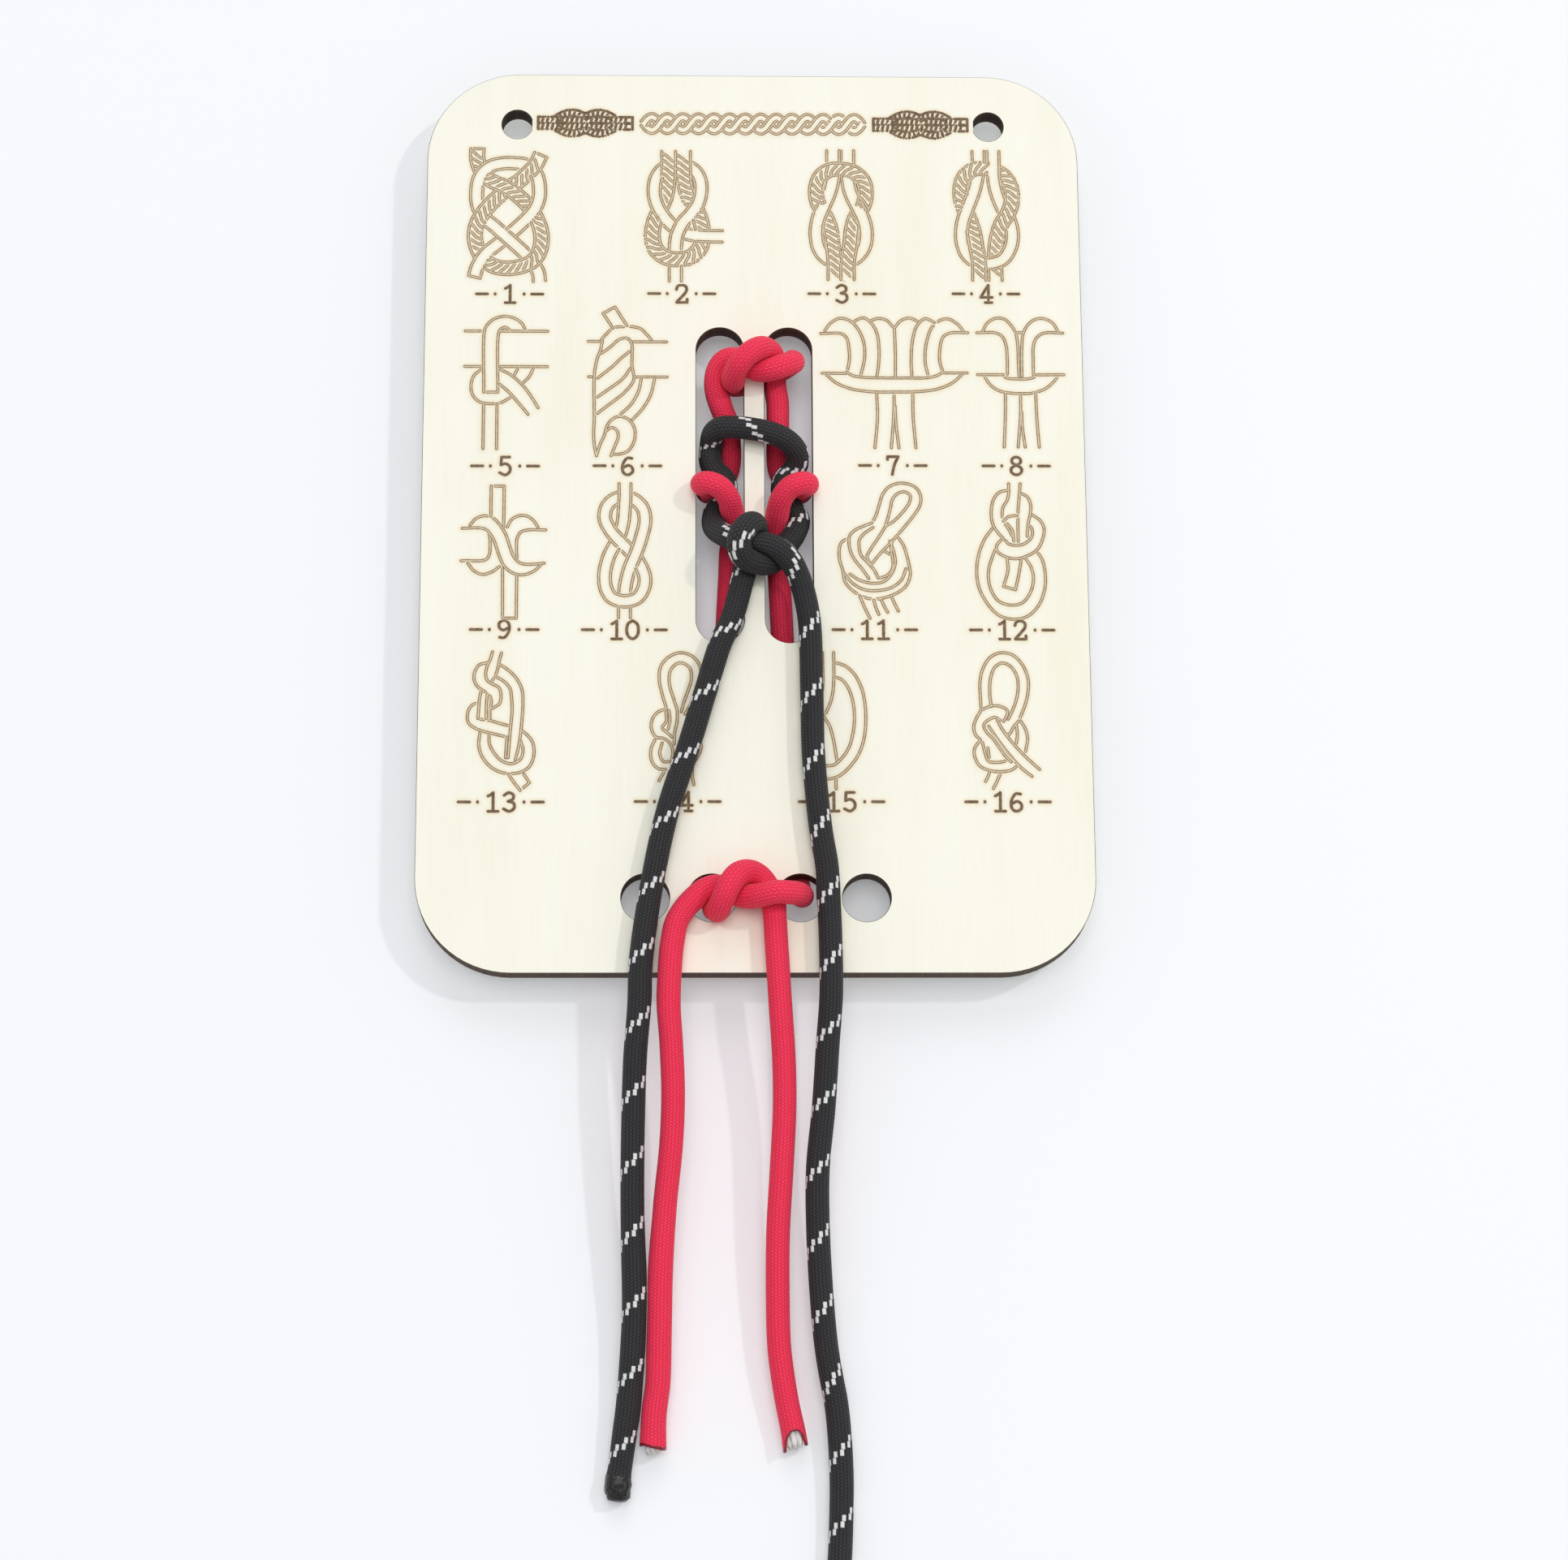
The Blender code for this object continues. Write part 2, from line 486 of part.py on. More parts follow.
def least_gap(one, one_diameter, other, other_diameter):
    """Least gap between two cords, or between a cord and the parts of itself further along."""
    step = 0.6 * MM
    along_one = np.arange(0.0, one.length, step)
    along_other = np.arange(0.0, other.length, step)
    places_one, shares_one = one.read(along_one)
    places_other, shares_other = other.read(along_other)
    gaps = np.linalg.norm(places_one[:, None] - places_other[None], axis=2)
    gaps -= shares_one[:, None] * one_diameter / 2.0
    gaps -= shares_other[None] * other_diameter / 2.0
    if one is other:
        near = np.abs(along_one[:, None] - along_other[None]) < 2.3 * one_diameter
        gaps[near] = 1.0
    return float(gaps.min())


def main():
    """Build the board and both cords."""
    clear_scene()
    origin = bpy.data.objects.new("board_origin", None)
    bpy.context.scene.collection.objects.link(origin)
    build_board(origin)

    red_material = make_material("red_cord", (0.85, 0.035, 0.105), 0.72)
    black_material = make_material("black_cord", (0.028, 0.028, 0.032), 0.70)
    core_material = make_material("red_core", (0.86, 0.86, 0.84), 0.80)

    red_middle = (RED_LOWER_PASS + RED_RIGHT_LEG + RED_RIGHT_TURN + RED_TOP_LOOP
                  + RED_TOP_TUCK + RED_LEFT_TURN + RED_LOWER_LOOP)
    red, red_knotted, red_left, red_right = build_cord(
        "red", RED_TAIL_LEFT, red_middle, RED_TAIL_RIGHT, RED_DIAMETER, red_material, origin)
    black_middle = BLACK_KNOT_WRAP + BLACK_BIGHT + BLACK_KNOT_CROSS
    black, _, _, _ = build_cord(
        "black", BLACK_TAIL_LEFT, black_middle, BLACK_TAIL_RIGHT, BLACK_DIAMETER, black_material, origin)

    # The strands that carry the board are pressed flat on the surface.
    deep = 5.0 * MM
    outline = rounded_rectangle(BOARD_WIDTH, BOARD_HEIGHT, CORNER_RADIUS, CORNER_STEPS)
    surface = add_cutter("surface_cutter", prism_mesh("surface", [outline], -deep, 0.0), origin)
    cut(as_mesh(red_knotted), surface)

    add_core("red_core_left", as_mesh(red_left), red, True, LEFT_CORE_STANDS_OUT, core_material, origin)
    add_core("red_core_right", as_mesh(red_right), red, False, -RIGHT_CORE_SET_BACK, core_material, origin)

    print("least gap of the red cord to itself %.2f mm" % (least_gap(red, RED_DIAMETER, red, RED_DIAMETER) / MM))
    print("least gap of the black cord to itself %.2f mm"
          % (least_gap(black, BLACK_DIAMETER, black, BLACK_DIAMETER) / MM))
    print("least gap between the cords %.2f mm" % (least_gap(red, RED_DIAMETER, black, BLACK_DIAMETER) / MM))


main()
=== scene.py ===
"""Looks of a laser-cut knot tying board with a red and a black practice cord tied to it.

Sizes are in metres, apart from those of the engraving and the cords' route points, which are in millimetres.
The board lies face up with its middle over X = 0, Y = 0 and its top edge towards +Y.
"""

from __future__ import annotations

import logging
import math
from dataclasses import dataclass, field
from enum import Enum
from typing import Any, Sequence

import bmesh
import bpy
import numpy as np
from mathutils import Matrix, Vector, noise
from mathutils.geometry import delaunay_2d_cdt


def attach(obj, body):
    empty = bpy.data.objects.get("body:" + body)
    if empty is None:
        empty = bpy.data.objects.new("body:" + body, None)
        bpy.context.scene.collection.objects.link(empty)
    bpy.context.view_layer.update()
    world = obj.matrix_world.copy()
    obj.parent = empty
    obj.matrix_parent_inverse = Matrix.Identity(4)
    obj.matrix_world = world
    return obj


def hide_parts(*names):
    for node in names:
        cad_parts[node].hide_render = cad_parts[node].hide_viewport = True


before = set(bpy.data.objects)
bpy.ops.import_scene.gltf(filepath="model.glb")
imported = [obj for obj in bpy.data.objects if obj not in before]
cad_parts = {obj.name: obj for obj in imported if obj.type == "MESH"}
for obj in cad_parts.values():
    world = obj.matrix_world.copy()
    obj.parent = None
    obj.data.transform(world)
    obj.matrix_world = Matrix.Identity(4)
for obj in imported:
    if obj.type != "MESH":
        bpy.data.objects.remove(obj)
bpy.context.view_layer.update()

LOG = logging.getLogger("knot_board")
MM = 0.001
FACE_HEIGHT = 8.06 * MM
SHEET = 4.0 * MM
LEAST_HEIGHT = 0.02 * MM
NEARLY_NOTHING = 1e-7
NO_TURN = 1e-12
CHART_SCALE = 10.0
FLOW_STEP = 0.12
PLAIN_RANK = 2.0

Colour = tuple[float, float, float]
Triple = tuple[float, float, float]
Point2 = tuple[float, float]


def paint(red: float, green: float, blue: float) -> Colour:
    """Turn a colour as seen on a screen, 0 to 255, into the linear colour that a shader takes.

    Args:
        red: Red part, 0 to 255.
        green: Green part, 0 to 255.
        blue: Blue part, 0 to 255.

    Returns:
        The linear colour.
    """
    parts = []
    for part in (red, green, blue):
        share = part / 255.0
        parts.append(share / 12.92 if share <= 0.04045 else ((share + 0.055) / 1.055) ** 2.4)
    return (parts[0], parts[1], parts[2])


# Shader nodes


class Value:
    """A shader socket that can be used in Python arithmetic."""

    def __init__(self, finish: "Finish", socket: Any) -> None:
        """Wrap a socket of a material's node tree."""
        self.finish = finish
        self.socket = socket

    def __add__(self, other: Any) -> "Value":
        """Add."""
        return self.finish.maths("ADD", self, other)

    def __radd__(self, other: Any) -> "Value":
        """Add, the other way round."""
        return self.finish.maths("ADD", other, self)

    def __sub__(self, other: Any) -> "Value":
        """Subtract."""
        return self.finish.maths("SUBTRACT", self, other)

    def __rsub__(self, other: Any) -> "Value":
        """Subtract, the other way round."""
        return self.finish.maths("SUBTRACT", other, self)

    def __mul__(self, other: Any) -> "Value":
        """Multiply."""
        return self.finish.maths("MULTIPLY", self, other)

    def __rmul__(self, other: Any) -> "Value":
        """Multiply, the other way round."""
        return self.finish.maths("MULTIPLY", other, self)

    def __truediv__(self, other: Any) -> "Value":
        """Divide."""
        return self.finish.maths("DIVIDE", self, other)

    def __rtruediv__(self, other: Any) -> "Value":
        """Divide, the other way round."""
        return self.finish.maths("DIVIDE", other, self)

    def __mod__(self, other: Any) -> "Value":
        """Remainder that never turns negative."""
        return self.finish.maths("FLOORED_MODULO", self, other)

    def __rmod__(self, other: Any) -> "Value":
        """Remainder, the other way round."""
        return self.finish.maths("FLOORED_MODULO", other, self)

    def __abs__(self) -> "Value":
        """Drop the sign."""
        return self.finish.maths("ABSOLUTE", self)

    def round_down(self) -> "Value":
        """Whole number below."""
        return self.finish.maths("FLOOR", self)

    def smallest(self, other: Any) -> "Value":
        """Smaller of the two."""
        return self.finish.maths("MINIMUM", self, other)

    def largest(self, other: Any) -> "Value":
        """Larger of the two."""
        return self.finish.maths("MAXIMUM", self, other)

    def ramp(self, low: float, high: float) -> "Value":
        """Rise smoothly from 0 at low to 1 at high, or fall where low is the higher.

        Args:
            low: Value at which the result is 0.
            high: Value at which the result is 1.

        Returns:
            The smooth share.
        """
        inputs = {"Value": self, "From Min": min(low, high), "From Max": max(low, high),
                  "To Min": float(low > high), "To Max": float(low <= high)}
        return self.finish.node("ShaderNodeMapRange", {"interpolation_type": "SMOOTHSTEP"}, inputs)


class Finish:
    """Node tree of one material, with a Principled shader at its end."""

    def __init__(self, name: str, roughness: float) -> None:
        """Start an empty material.

        Args:
            name: Name of the material.
            roughness: Roughness where nothing else is linked to it.
        """
        self.material = bpy.data.materials.new(name)
        self.material.use_nodes = True
        self.tree = self.material.node_tree
        self.shader = self.tree.nodes["Principled BSDF"]
        self.shader.inputs["Roughness"].default_value = roughness

    def node(self, kind: str, settings: dict[str, Any] | None = None, inputs: dict[Any, Any] | None = None,
             output: Any = 0) -> Value:
        """Add a node, set it up, and link or fill its sockets.

        Args:
            kind: Type of the node.
            settings: Its own settings, which are set first.
            inputs: Values or links for its sockets, by name or number.
            output: Name or number of the socket to return.

        Returns:
            The chosen output socket.
        """
        made = self.tree.nodes.new(kind)
        for name, setting in (settings or {}).items():
            setattr(made, name, setting)
        for name, value in (inputs or {}).items():
            self.feed(made.inputs[name], value)
        return Value(self, made.outputs[output])

    def feed(self, socket: Any, value: Any) -> None:
        """Link a socket to another one, or set it.

        Args:
            socket: Input socket.
            value: A Value to link, or a number, vector or colour.
        """
        if isinstance(value, Value):
            self.tree.links.new(value.socket, socket)
        elif isinstance(value, tuple) and len(value) == 3 and len(socket.default_value) == 4:
            socket.default_value = (*value, 1.0)
        else:
            socket.default_value = value

    def maths(self, operation: str, *values: Any) -> Value:
        """Add a Math node.

        Args:
            operation: What it works out.
            values: Its numbers or links.

        Returns:
            Its result.
        """
        return self.node("ShaderNodeMath", {"operation": operation}, dict(enumerate(values)))

    def mix(self, share: Any, first: Any, second: Any) -> Value:
        """Mix two colours.

        Args:
            share: Share of the second colour.
            first: First colour.
            second: Second colour.

        Returns:
            The mixed colour.
        """
        return self.node("ShaderNodeMix", {"data_type": "RGBA"}, {0: share, 6: first, 7: second}, 2)

    def place(self) -> Value:
        """Position on the object, in metres."""
        return self.node("ShaderNodeTexCoord", output="Object")

    def parts(self, vector: Value) -> tuple[Value, Value, Value]:
        """Split a vector into its three numbers."""
        split = self.node("ShaderNodeSeparateXYZ", inputs={0: vector})
        first, second, third = (Value(self, output) for output in split.socket.node.outputs)
        return first, second, third

    def mark(self, name: str) -> Value:
        """Read a number that the mesh carries at each corner."""
        return self.node("ShaderNodeAttribute", {"attribute_name": name}, output="Fac")

    def noise(self, vector: Value, scale: float, detail: float = 2.0, roughness: float = 0.5) -> Value:
        """Noise from 0 to 1 over a vector.

        Args:
            vector: Where it is read.
            scale: Cells per unit.
            detail: Number of finer layers.
            roughness: Strength of the finer layers.

        Returns:
            The noise.
        """
        return self.node("ShaderNodeTexNoise", inputs={"Vector": vector, "Scale": scale, "Detail": detail,
                                                       "Roughness": roughness})

    def stretched(self, vector: Value, stretch: Triple) -> Value:
        """Scale a vector by a number along each axis, with a Vector Math node."""
        return self.node("ShaderNodeVectorMath", {"operation": "MULTIPLY"}, {0: vector, 1: stretch})

    def bump(self, height: Value, depth: float, strength: float = 1.0) -> None:
        """Raise the surface by a height from 0 to 1.

        Args:
            height: The height.
            depth: What a height of 1 is, in metres.
            strength: Share of it that is used.
        """
        normal = self.node("ShaderNodeBump", inputs={"Strength": strength, "Distance": depth, "Height": height},
                           output="Normal")
        self.feed(self.shader.inputs["Normal"], normal)

    def colour(self, value: Any) -> None:
        """Set or link the base colour."""
        self.feed(self.shader.inputs["Base Color"], value)

    def rough(self, value: Any) -> None:
        """Set or link the roughness."""
        self.feed(self.shader.inputs["Roughness"], value)


# Finishes


@dataclass(frozen=True)
class VeneerFinish:
    """Pale bare veneer with a faint grain along Y, and laser-burnt lines where the mesh is marked."""

    name: str = "pale_veneer"
    pale: Colour = paint(250, 249, 236)
    grain: Colour = paint(246, 242, 223)
    scorch: Colour = paint(236, 208, 156)
    brown: Colour = paint(196, 164, 116)
    burnt: Colour = paint(92, 68, 40)
    reach: float = 1.0
    stroke_edge: float = 0.34
    ridge_at: float = 0.19
    ridge_half: float = 0.12
    fibre_scale: float = 2600.0
    band_scale: float = 120.0
    cloud_scale: float = 26.0
    scorch_scale: float = 1500.0

    def make(self) -> bpy.types.Material:
        """Build the material.

        Returns:
            The material.
        """
        finish = Finish(self.name, 0.62)
        place = finish.place()
        fibres = finish.noise(finish.stretched(place, (1.0, 0.035, 1.0)), self.fibre_scale, 3.0, 0.6)
        bands = finish.noise(finish.stretched(place, (1.0, 0.10, 1.0)), self.band_scale, 3.0, 0.55)
        clouds = finish.noise(place, self.cloud_scale)
        share = 0.30 * fibres.ramp(0.42, 0.72) + 0.55 * bands.ramp(0.35, 0.75) + 0.30 * clouds.ramp(0.4, 0.7)
        wood = finish.mix(share, self.pale, self.grain)
        uneven = finish.noise(place, self.scorch_scale)
        gap = (1.0 - finish.mark("near")) * self.reach
        inked = finish.mark("inked")
        haze = gap.ramp(self.reach, 0.25) * (0.22 + 0.36 * uneven)
        warm = finish.mix(haze.smallest(1.0), wood, self.scorch)
        band = gap.ramp(self.stroke_edge, 0.22) * (0.30 + 0.50 * uneven)
        warm = finish.mix(band.smallest(1.0), warm, self.brown)
        ridge = abs(gap - self.ridge_at).ramp(self.ridge_half, 0.03) * (0.62 + 0.50 * uneven) * (1.0 - inked)
        solid = gap.ramp(self.stroke_edge, 0.18) * (0.72 + 0.40 * uneven) * inked
        line = (ridge + solid).smallest(1.0)
        finish.colour(finish.mix(line, warm, self.burnt))
        finish.rough(0.60 + 0.08 * fibres)
        finish.bump(fibres * 0.35 - line * 0.6, 0.05 * MM, 0.6)
        return finish.material


@dataclass(frozen=True)
class CharredFinish:
    """Edge of the sheet, charred by the laser, with fine stripes across the plies."""

    name: str = "charred_edge"
    dark: Colour = paint(56, 43, 35)
    brown: Colour = paint(104, 78, 56)
    stripe_scale: float = 2200.0
    core_half: float = 0.6 * MM
    face_half: float = 1.5 * MM

    def make(self) -> bpy.types.Material:
        """Build the material.

        Returns:
            The material.
        """
        finish = Finish(self.name, 0.8)
        place = finish.place()
        stripes = finish.noise(finish.stretched(place, (1.0, 1.0, 0.05)), self.stripe_scale)
        height = finish.parts(place)[2]
        faces = abs(height - (FACE_HEIGHT - SHEET / 2.0)).ramp(self.core_half, self.face_half)
        share = stripes.ramp(0.4, 0.8) * 0.5 + faces * 0.35
        finish.colour(finish.mix(share, self.dark, self.brown))
        finish.bump(stripes, 0.06 * MM, 0.5)
        return finish.material


@dataclass(frozen=True)
class BraidFinish:
    """Finely braided sheath: columns of slanting stitches that lean to and fro from one column to the next. The stitch
    tops are painted lighter as painted highlight, and the grooves between them darker as painted shade.
    """

    name: str
    # Colour of the stitch tops, lightened as painted highlight, and of the grooves between stitches, darkened as
    # painted shade.
    crest: Colour
    valley: Colour
    shade: Colour
    columns: int = 20
    stitch: float = 0.54 * MM
    lean: float = 0.75
    relief: float = 0.10 * MM
    sheen: float = 0.06
    tracer: Colour | None = None
    tracer_pitch: float = 11.4 * MM
    dash_step: float = 11.4 * MM / 9.0
    dash_length: float = 2.05 * MM
    dash_width: float = 0.66 * MM
    dash_kink: float = 0.24 * MM
    dash_blur: float = 0.06 * MM
    around: float = 12.25 * MM
    wander_scale: float = 900.0
    fibre_scale: float = 5200.0
    cloud_scale: float = 260.0

    def make(self) -> bpy.types.Material:
        """Build the material.

        Returns:
            The material.
        """
        finish = Finish(self.name, 0.72)
        chart = finish.node("ShaderNodeUVMap", {"uv_map": "cord"})
        turn, along, _ = finish.parts(chart)
        length = along * (1.0 / CHART_SCALE)
        column = turn * self.columns
        inside_column = column % 1.0
        odd = column.round_down() % 2.0
        slant = (odd * 2.0 - 1.0) * (inside_column - 0.5) * self.lean
        place = finish.place()
        wander = finish.noise(place, self.wander_scale, 1.0) - 0.5
        row = (length / self.stitch + slant + odd * 0.5 + wander * 0.5) % 1.0
        hump = abs(row - 0.5).ramp(0.5, 0.05)
        ridge = abs(inside_column - 0.5).ramp(0.5, 0.12)
        fibres = finish.noise(place, self.fibre_scale)
        soft = finish.noise(place, self.cloud_scale)
        height = hump * (0.35 + 0.65 * ridge)
        # Stitch tops get the lighter colour as painted highlight and the grooves between stitches the darker one as
        # painted shade; the fibre noise adds random tone.
        share = (height * 0.60 + fibres * 0.46 + ridge * 0.20 - 0.10).ramp(0.0, 1.0)
        base = finish.mix(share, self.valley, self.crest)
        base = finish.mix(soft.ramp(0.52, 0.78) * 0.4, base, self.shade)
        if self.tracer is not None:
            dash = self.dashes(turn, length) * (0.78 + 0.30 * fibres)
            base = finish.mix(dash.smallest(1.0), base, self.tracer)
            height = height + dash * 0.35
        finish.colour(base)
        finish.rough(0.82 - 0.16 * height)
        finish.bump(height + 0.18 * fibres, self.relief, 0.9)
        for name, value in (("Sheen Weight", self.sheen), ("Sheen Roughness", 0.5), ("Specular IOR Level", 0.35)):
            finish.shader.inputs[name].default_value = value
        return finish.material

    def dashes(self, turn: Value, length: Value) -> Value:
        """Mark the dashes of the tracer yarn, which winds round the cord as a screw, two stitches to a dash.

        Args:
            turn: Turns round the cord.
            length: Length along the cord.

        Returns:
            One inside a dash and 0 outside.
        """
        marks = []
        for shift in (0.0, 1.0):
            step = ((length / self.dash_step).round_down() + shift) * self.dash_step
            ahead = length - step
            off = (turn - step / self.tracer_pitch + 0.5) % 1.0 - 0.5
            half = ahead.ramp(-self.dash_blur, self.dash_blur) - 0.5
            beside = abs(off * self.around - half * self.dash_kink)
            ends = abs(ahead).ramp(self.dash_length / 2.0 + self.dash_blur, self.dash_length / 2.0 - 0.12 * MM)
            waist = 1.0 - 0.45 * abs(ahead).ramp(0.14 * MM, 0.02 * MM)
            sides = beside.ramp(self.dash_width / 2.0 + self.dash_blur, self.dash_width / 2.0 - 0.10 * MM)
            marks.append(ends * waist * sides)
        return marks[0].largest(marks[1])


@dataclass(frozen=True)
class CoreFinish:
    """White core yarns, cut across, painted grey between the yarns as painted shade."""

    name: str = "white_core"
    white: Colour = paint(255, 254, 252)
    # Grey where the yarns meet, as painted shade between them.
    grey: Colour = paint(230, 224, 222)
    yarn_scale: float = 2400.0
    fibre_scale: float = 6000.0

    def make(self) -> bpy.types.Material:
        """Build the material.

        Returns:
            The material.
        """
        finish = Finish(self.name, 0.85)
        place = finish.place()
        yarns = finish.node("ShaderNodeTexVoronoi", {"feature": "DISTANCE_TO_EDGE"},
                            {"Vector": place, "Scale": self.yarn_scale}, "Distance")
        fibres = finish.noise(place, self.fibre_scale)
        # Near the borders between yarns the colour turns grey as painted shade.
        share = yarns.ramp(0.0, 0.25) * (0.6 + 0.5 * fibres)
        finish.colour(finish.mix(share.smallest(1.0), self.grey, self.white))
        finish.bump(share, 0.12 * MM, 0.8)
        return finish.material


@dataclass(frozen=True)
class MeltedFinish:
    """Cord end or rim melted hard, with burnt flecks; its raised lumps are painted lighter as painted highlight and
    its hollows darker as painted shade.
    """

    name: str
    # Colour in the hollows, darkened as painted shade, and on the raised lumps, lightened as painted highlight.
    dark: Colour
    light: Colour
    fleck: Colour
    lump_scale: float = 1400.0
    fleck_scale: float = 2300.0

    def make(self) -> bpy.types.Material:
        """Build the material.

        Returns:
            The material.
        """
        finish = Finish(self.name, 0.38)
        place = finish.place()
        lumps = finish.noise(place, self.lump_scale, 3.0)
        flecks = finish.noise(place, self.fleck_scale, 1.0).ramp(0.62, 0.74)
        # Raised lumps take the lighter colour as painted highlight and the hollows the darker one as painted shade.
        base = finish.mix(lumps.ramp(0.35, 0.75), self.dark, self.light)
        finish.colour(finish.mix(flecks * 0.8, base, self.fleck))
        finish.rough(0.22 + 0.3 * lumps)
        finish.bump(lumps, 0.25 * MM, 0.8)
        return finish.material


@dataclass(frozen=True)
class TableFinish:
    """Plain pale table top that shows the camera a share of a brightness of its own, so that it looks evenly lit."""

    name: str = "pale_table"
    pale: Colour = paint(249, 251, 254)
    glow: Colour = paint(247, 250, 254)
    share: float = 0.20

    def make(self) -> bpy.types.Material:
        """Build the material.

        Returns:
            The material.
        """
        finish = Finish(self.name, 0.9)
        finish.colour(self.pale)
        finish.shader.inputs["Specular IOR Level"].default_value = 0.0
        glow = finish.node("ShaderNodeEmission", inputs={"Color": self.glow, "Strength": 1.0})
        seen = finish.node("ShaderNodeLightPath", output="Is Camera Ray")
        glossy = finish.node("ShaderNodeLightPath", output="Is Glossy Ray")
        mixed = finish.node("ShaderNodeMixShader", inputs={
            0: seen.largest(glossy) * self.share, 1: Value(finish, finish.shader.outputs[0]), 2: glow})
        finish.feed(finish.tree.nodes["Material Output"].inputs["Surface"], mixed)
        return finish.material


# Shapes


def smooth_route(points: Sequence[Sequence[float]], spans: int = 40) -> tuple[np.ndarray, np.ndarray]:
    """Read a smooth curve through a route's points, with the share of thickness at each place.

    Args:
        points: Places in millimetres, each with an optional share of thickness as its fourth number.
        spans: Places read between two points of the route.

    Returns:
        The places in metres, and the shares.
    """
    places = np.array([point[:3] for point in points], float) * MM
    shares = np.array([point[3] if len(point) > 3 else 1.0 for point in points])
    padded = np.vstack([2.0 * places[0] - places[1], places, 2.0 * places[-1] - places[-2]])
    curve: list[np.ndarray] = []
    kept: list[float] = []
    for span in range(len(places) - 1):
        a, b, c, d = padded[span:span + 4]
        t0 = 0.0
        t1 = t0 + math.sqrt(np.linalg.norm(b - a))
        t2 = t1 + math.sqrt(np.linalg.norm(c - b))
        t3 = t2 + math.sqrt(np.linalg.norm(d - c))
        for step in range(spans):
            share = step / spans
            t = t1 + (t2 - t1) * share
            ab = a + (b - a) * (t - t0) / (t1 - t0)
            bc = b + (c - b) * (t - t1) / (t2 - t1)
            cd = c + (d - c) * (t - t2) / (t3 - t2)
            abc = ab + (bc - ab) * (t - t0) / (t2 - t0)
            bcd = bc + (cd - bc) * (t - t1) / (t3 - t1)
            curve.append(abc + (bcd - abc) * (t - t1) / (t2 - t1))
            kept.append(shares[span] * (1.0 - share) + shares[span + 1] * share)
    curve.append(places[-1])
    kept.append(shares[-1])
    return np.array(curve), np.array(kept)


def run_along(places: np.ndarray) -> np.ndarray:
    """Measure how far each place lies along the line through all of them."""
    return np.concatenate([[0.0], np.cumsum(np.linalg.norm(np.diff(places, axis=0), axis=1))])


def read_at(marks: np.ndarray, run: np.ndarray, rows: np.ndarray) -> np.ndarray:
    """Read every column of some rows at marks along their run."""
    return np.stack([np.interp(marks, run, column) for column in rows.T], 1)


def ways_along(places: np.ndarray) -> np.ndarray:
    """Find the way on, of length 1, at each place of a line."""
    ways = np.gradient(places, axis=0)
    return ways / np.linalg.norm(ways, axis=1)[:, None]


def quarter_turned(ways: np.ndarray) -> np.ndarray:
    """Turn flat ways a quarter turn to the left."""
    return np.stack([-ways[:, 1], ways[:, 0]], 1)


def take_mesh(shape: bmesh.types.BMesh, name: str) -> bpy.types.Mesh:
    """Turn a shape into a mesh, and let the shape go.

    Args:
        shape: The shape.
        name: Name of the mesh.

    Returns:
        The mesh.
    """
    mesh = bpy.data.meshes.new(name)
    shape.to_mesh(mesh)
    shape.free()
    return mesh


def show(name: str, data: Any) -> bpy.types.Object:
    """Put a mesh, a light or a camera into the scene.

    Args:
        name: Name of the object.
        data: The mesh, light or camera.

    Returns:
        The object.
    """
    made = bpy.data.objects.new(name, data)
    bpy.context.scene.collection.objects.link(made)
    return made


def new_piece(name: str, mesh: bpy.types.Mesh, slot: str, *materials: bpy.types.Material) -> bpy.types.Object:
    """Put a mesh into the scene as a piece of the board.

    Args:
        name: Name of the piece.
        mesh: Its mesh.
        slot: Name of the record's material slot; not used.
        materials: Its materials, in the order of the faces' material numbers.

    Returns:
        The piece.
    """
    for material in materials:
        mesh.materials.append(material)
    piece = show(name, mesh)
    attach(piece, "root")
    LOG.info("%s: %d faces", name, len(mesh.polygons))
    return piece


# Board


def arc(x: float, y: float, radius: float, start: float, turn: float, steps: int) -> list[Point2]:
    """List the points of an arc, both ends included."""
    return [(x + radius * math.cos(start + turn * k / steps), y + radius * math.sin(start + turn * k / steps))
            for k in range(steps + 1)]


class EdgeForm(Enum):
    """Forms that the laser cuts."""

    SHEET = "sheet"
    SLOT = "slot"
    HOLE = "hole"


@dataclass
class CutEdge:
    """One closed line along which the laser cut the sheet."""

    form: EdgeForm
    x: float
    y: float
    width: float
    height: float
    radius: float

    def outline(self, inset: float, steps: int = 16) -> list[Point2]:
        """List the line's points, moved into the wood by an inset.

        Args:
            inset: How far into the wood the line moves.
            steps: Steps of each round corner.

        Returns:
            The points, anticlockwise.
        """
        grow = -inset if self.form is EdgeForm.SHEET else inset
        radius = self.radius + grow
        side = self.width / 2.0 + grow - radius
        end = self.height / 2.0 + grow - radius
        points: list[Point2] = []
        for corner, (u, v) in enumerate(((side, -end), (side, end), (-side, end), (-side, -end))):
            run = arc(self.x + u, self.y + v, radius, (corner - 1) * math.pi / 2.0, math.pi / 2.0, steps)
            for point in run:
                if not points or math.dist(points[-1], point) > NEARLY_NOTHING:
                    points.append(point)
        if math.dist(points[0], points[-1]) < NEARLY_NOTHING:
            points.pop()
        return points

    def distance(self, places: np.ndarray) -> np.ndarray:
        """Measure how far places lie outside the line, and less than 0 inside it.

        Args:
            places: Rows that start with x and y.

        Returns:
            The distances.
        """
        over = np.stack([np.abs(places[:, 0] - self.x) - (self.width / 2.0 - self.radius),
                         np.abs(places[:, 1] - self.y) - (self.height / 2.0 - self.radius)], 1)
        beyond = np.linalg.norm(np.maximum(over, 0.0), axis=1)
        return beyond + np.minimum(over.max(1), 0.0) - self.radius


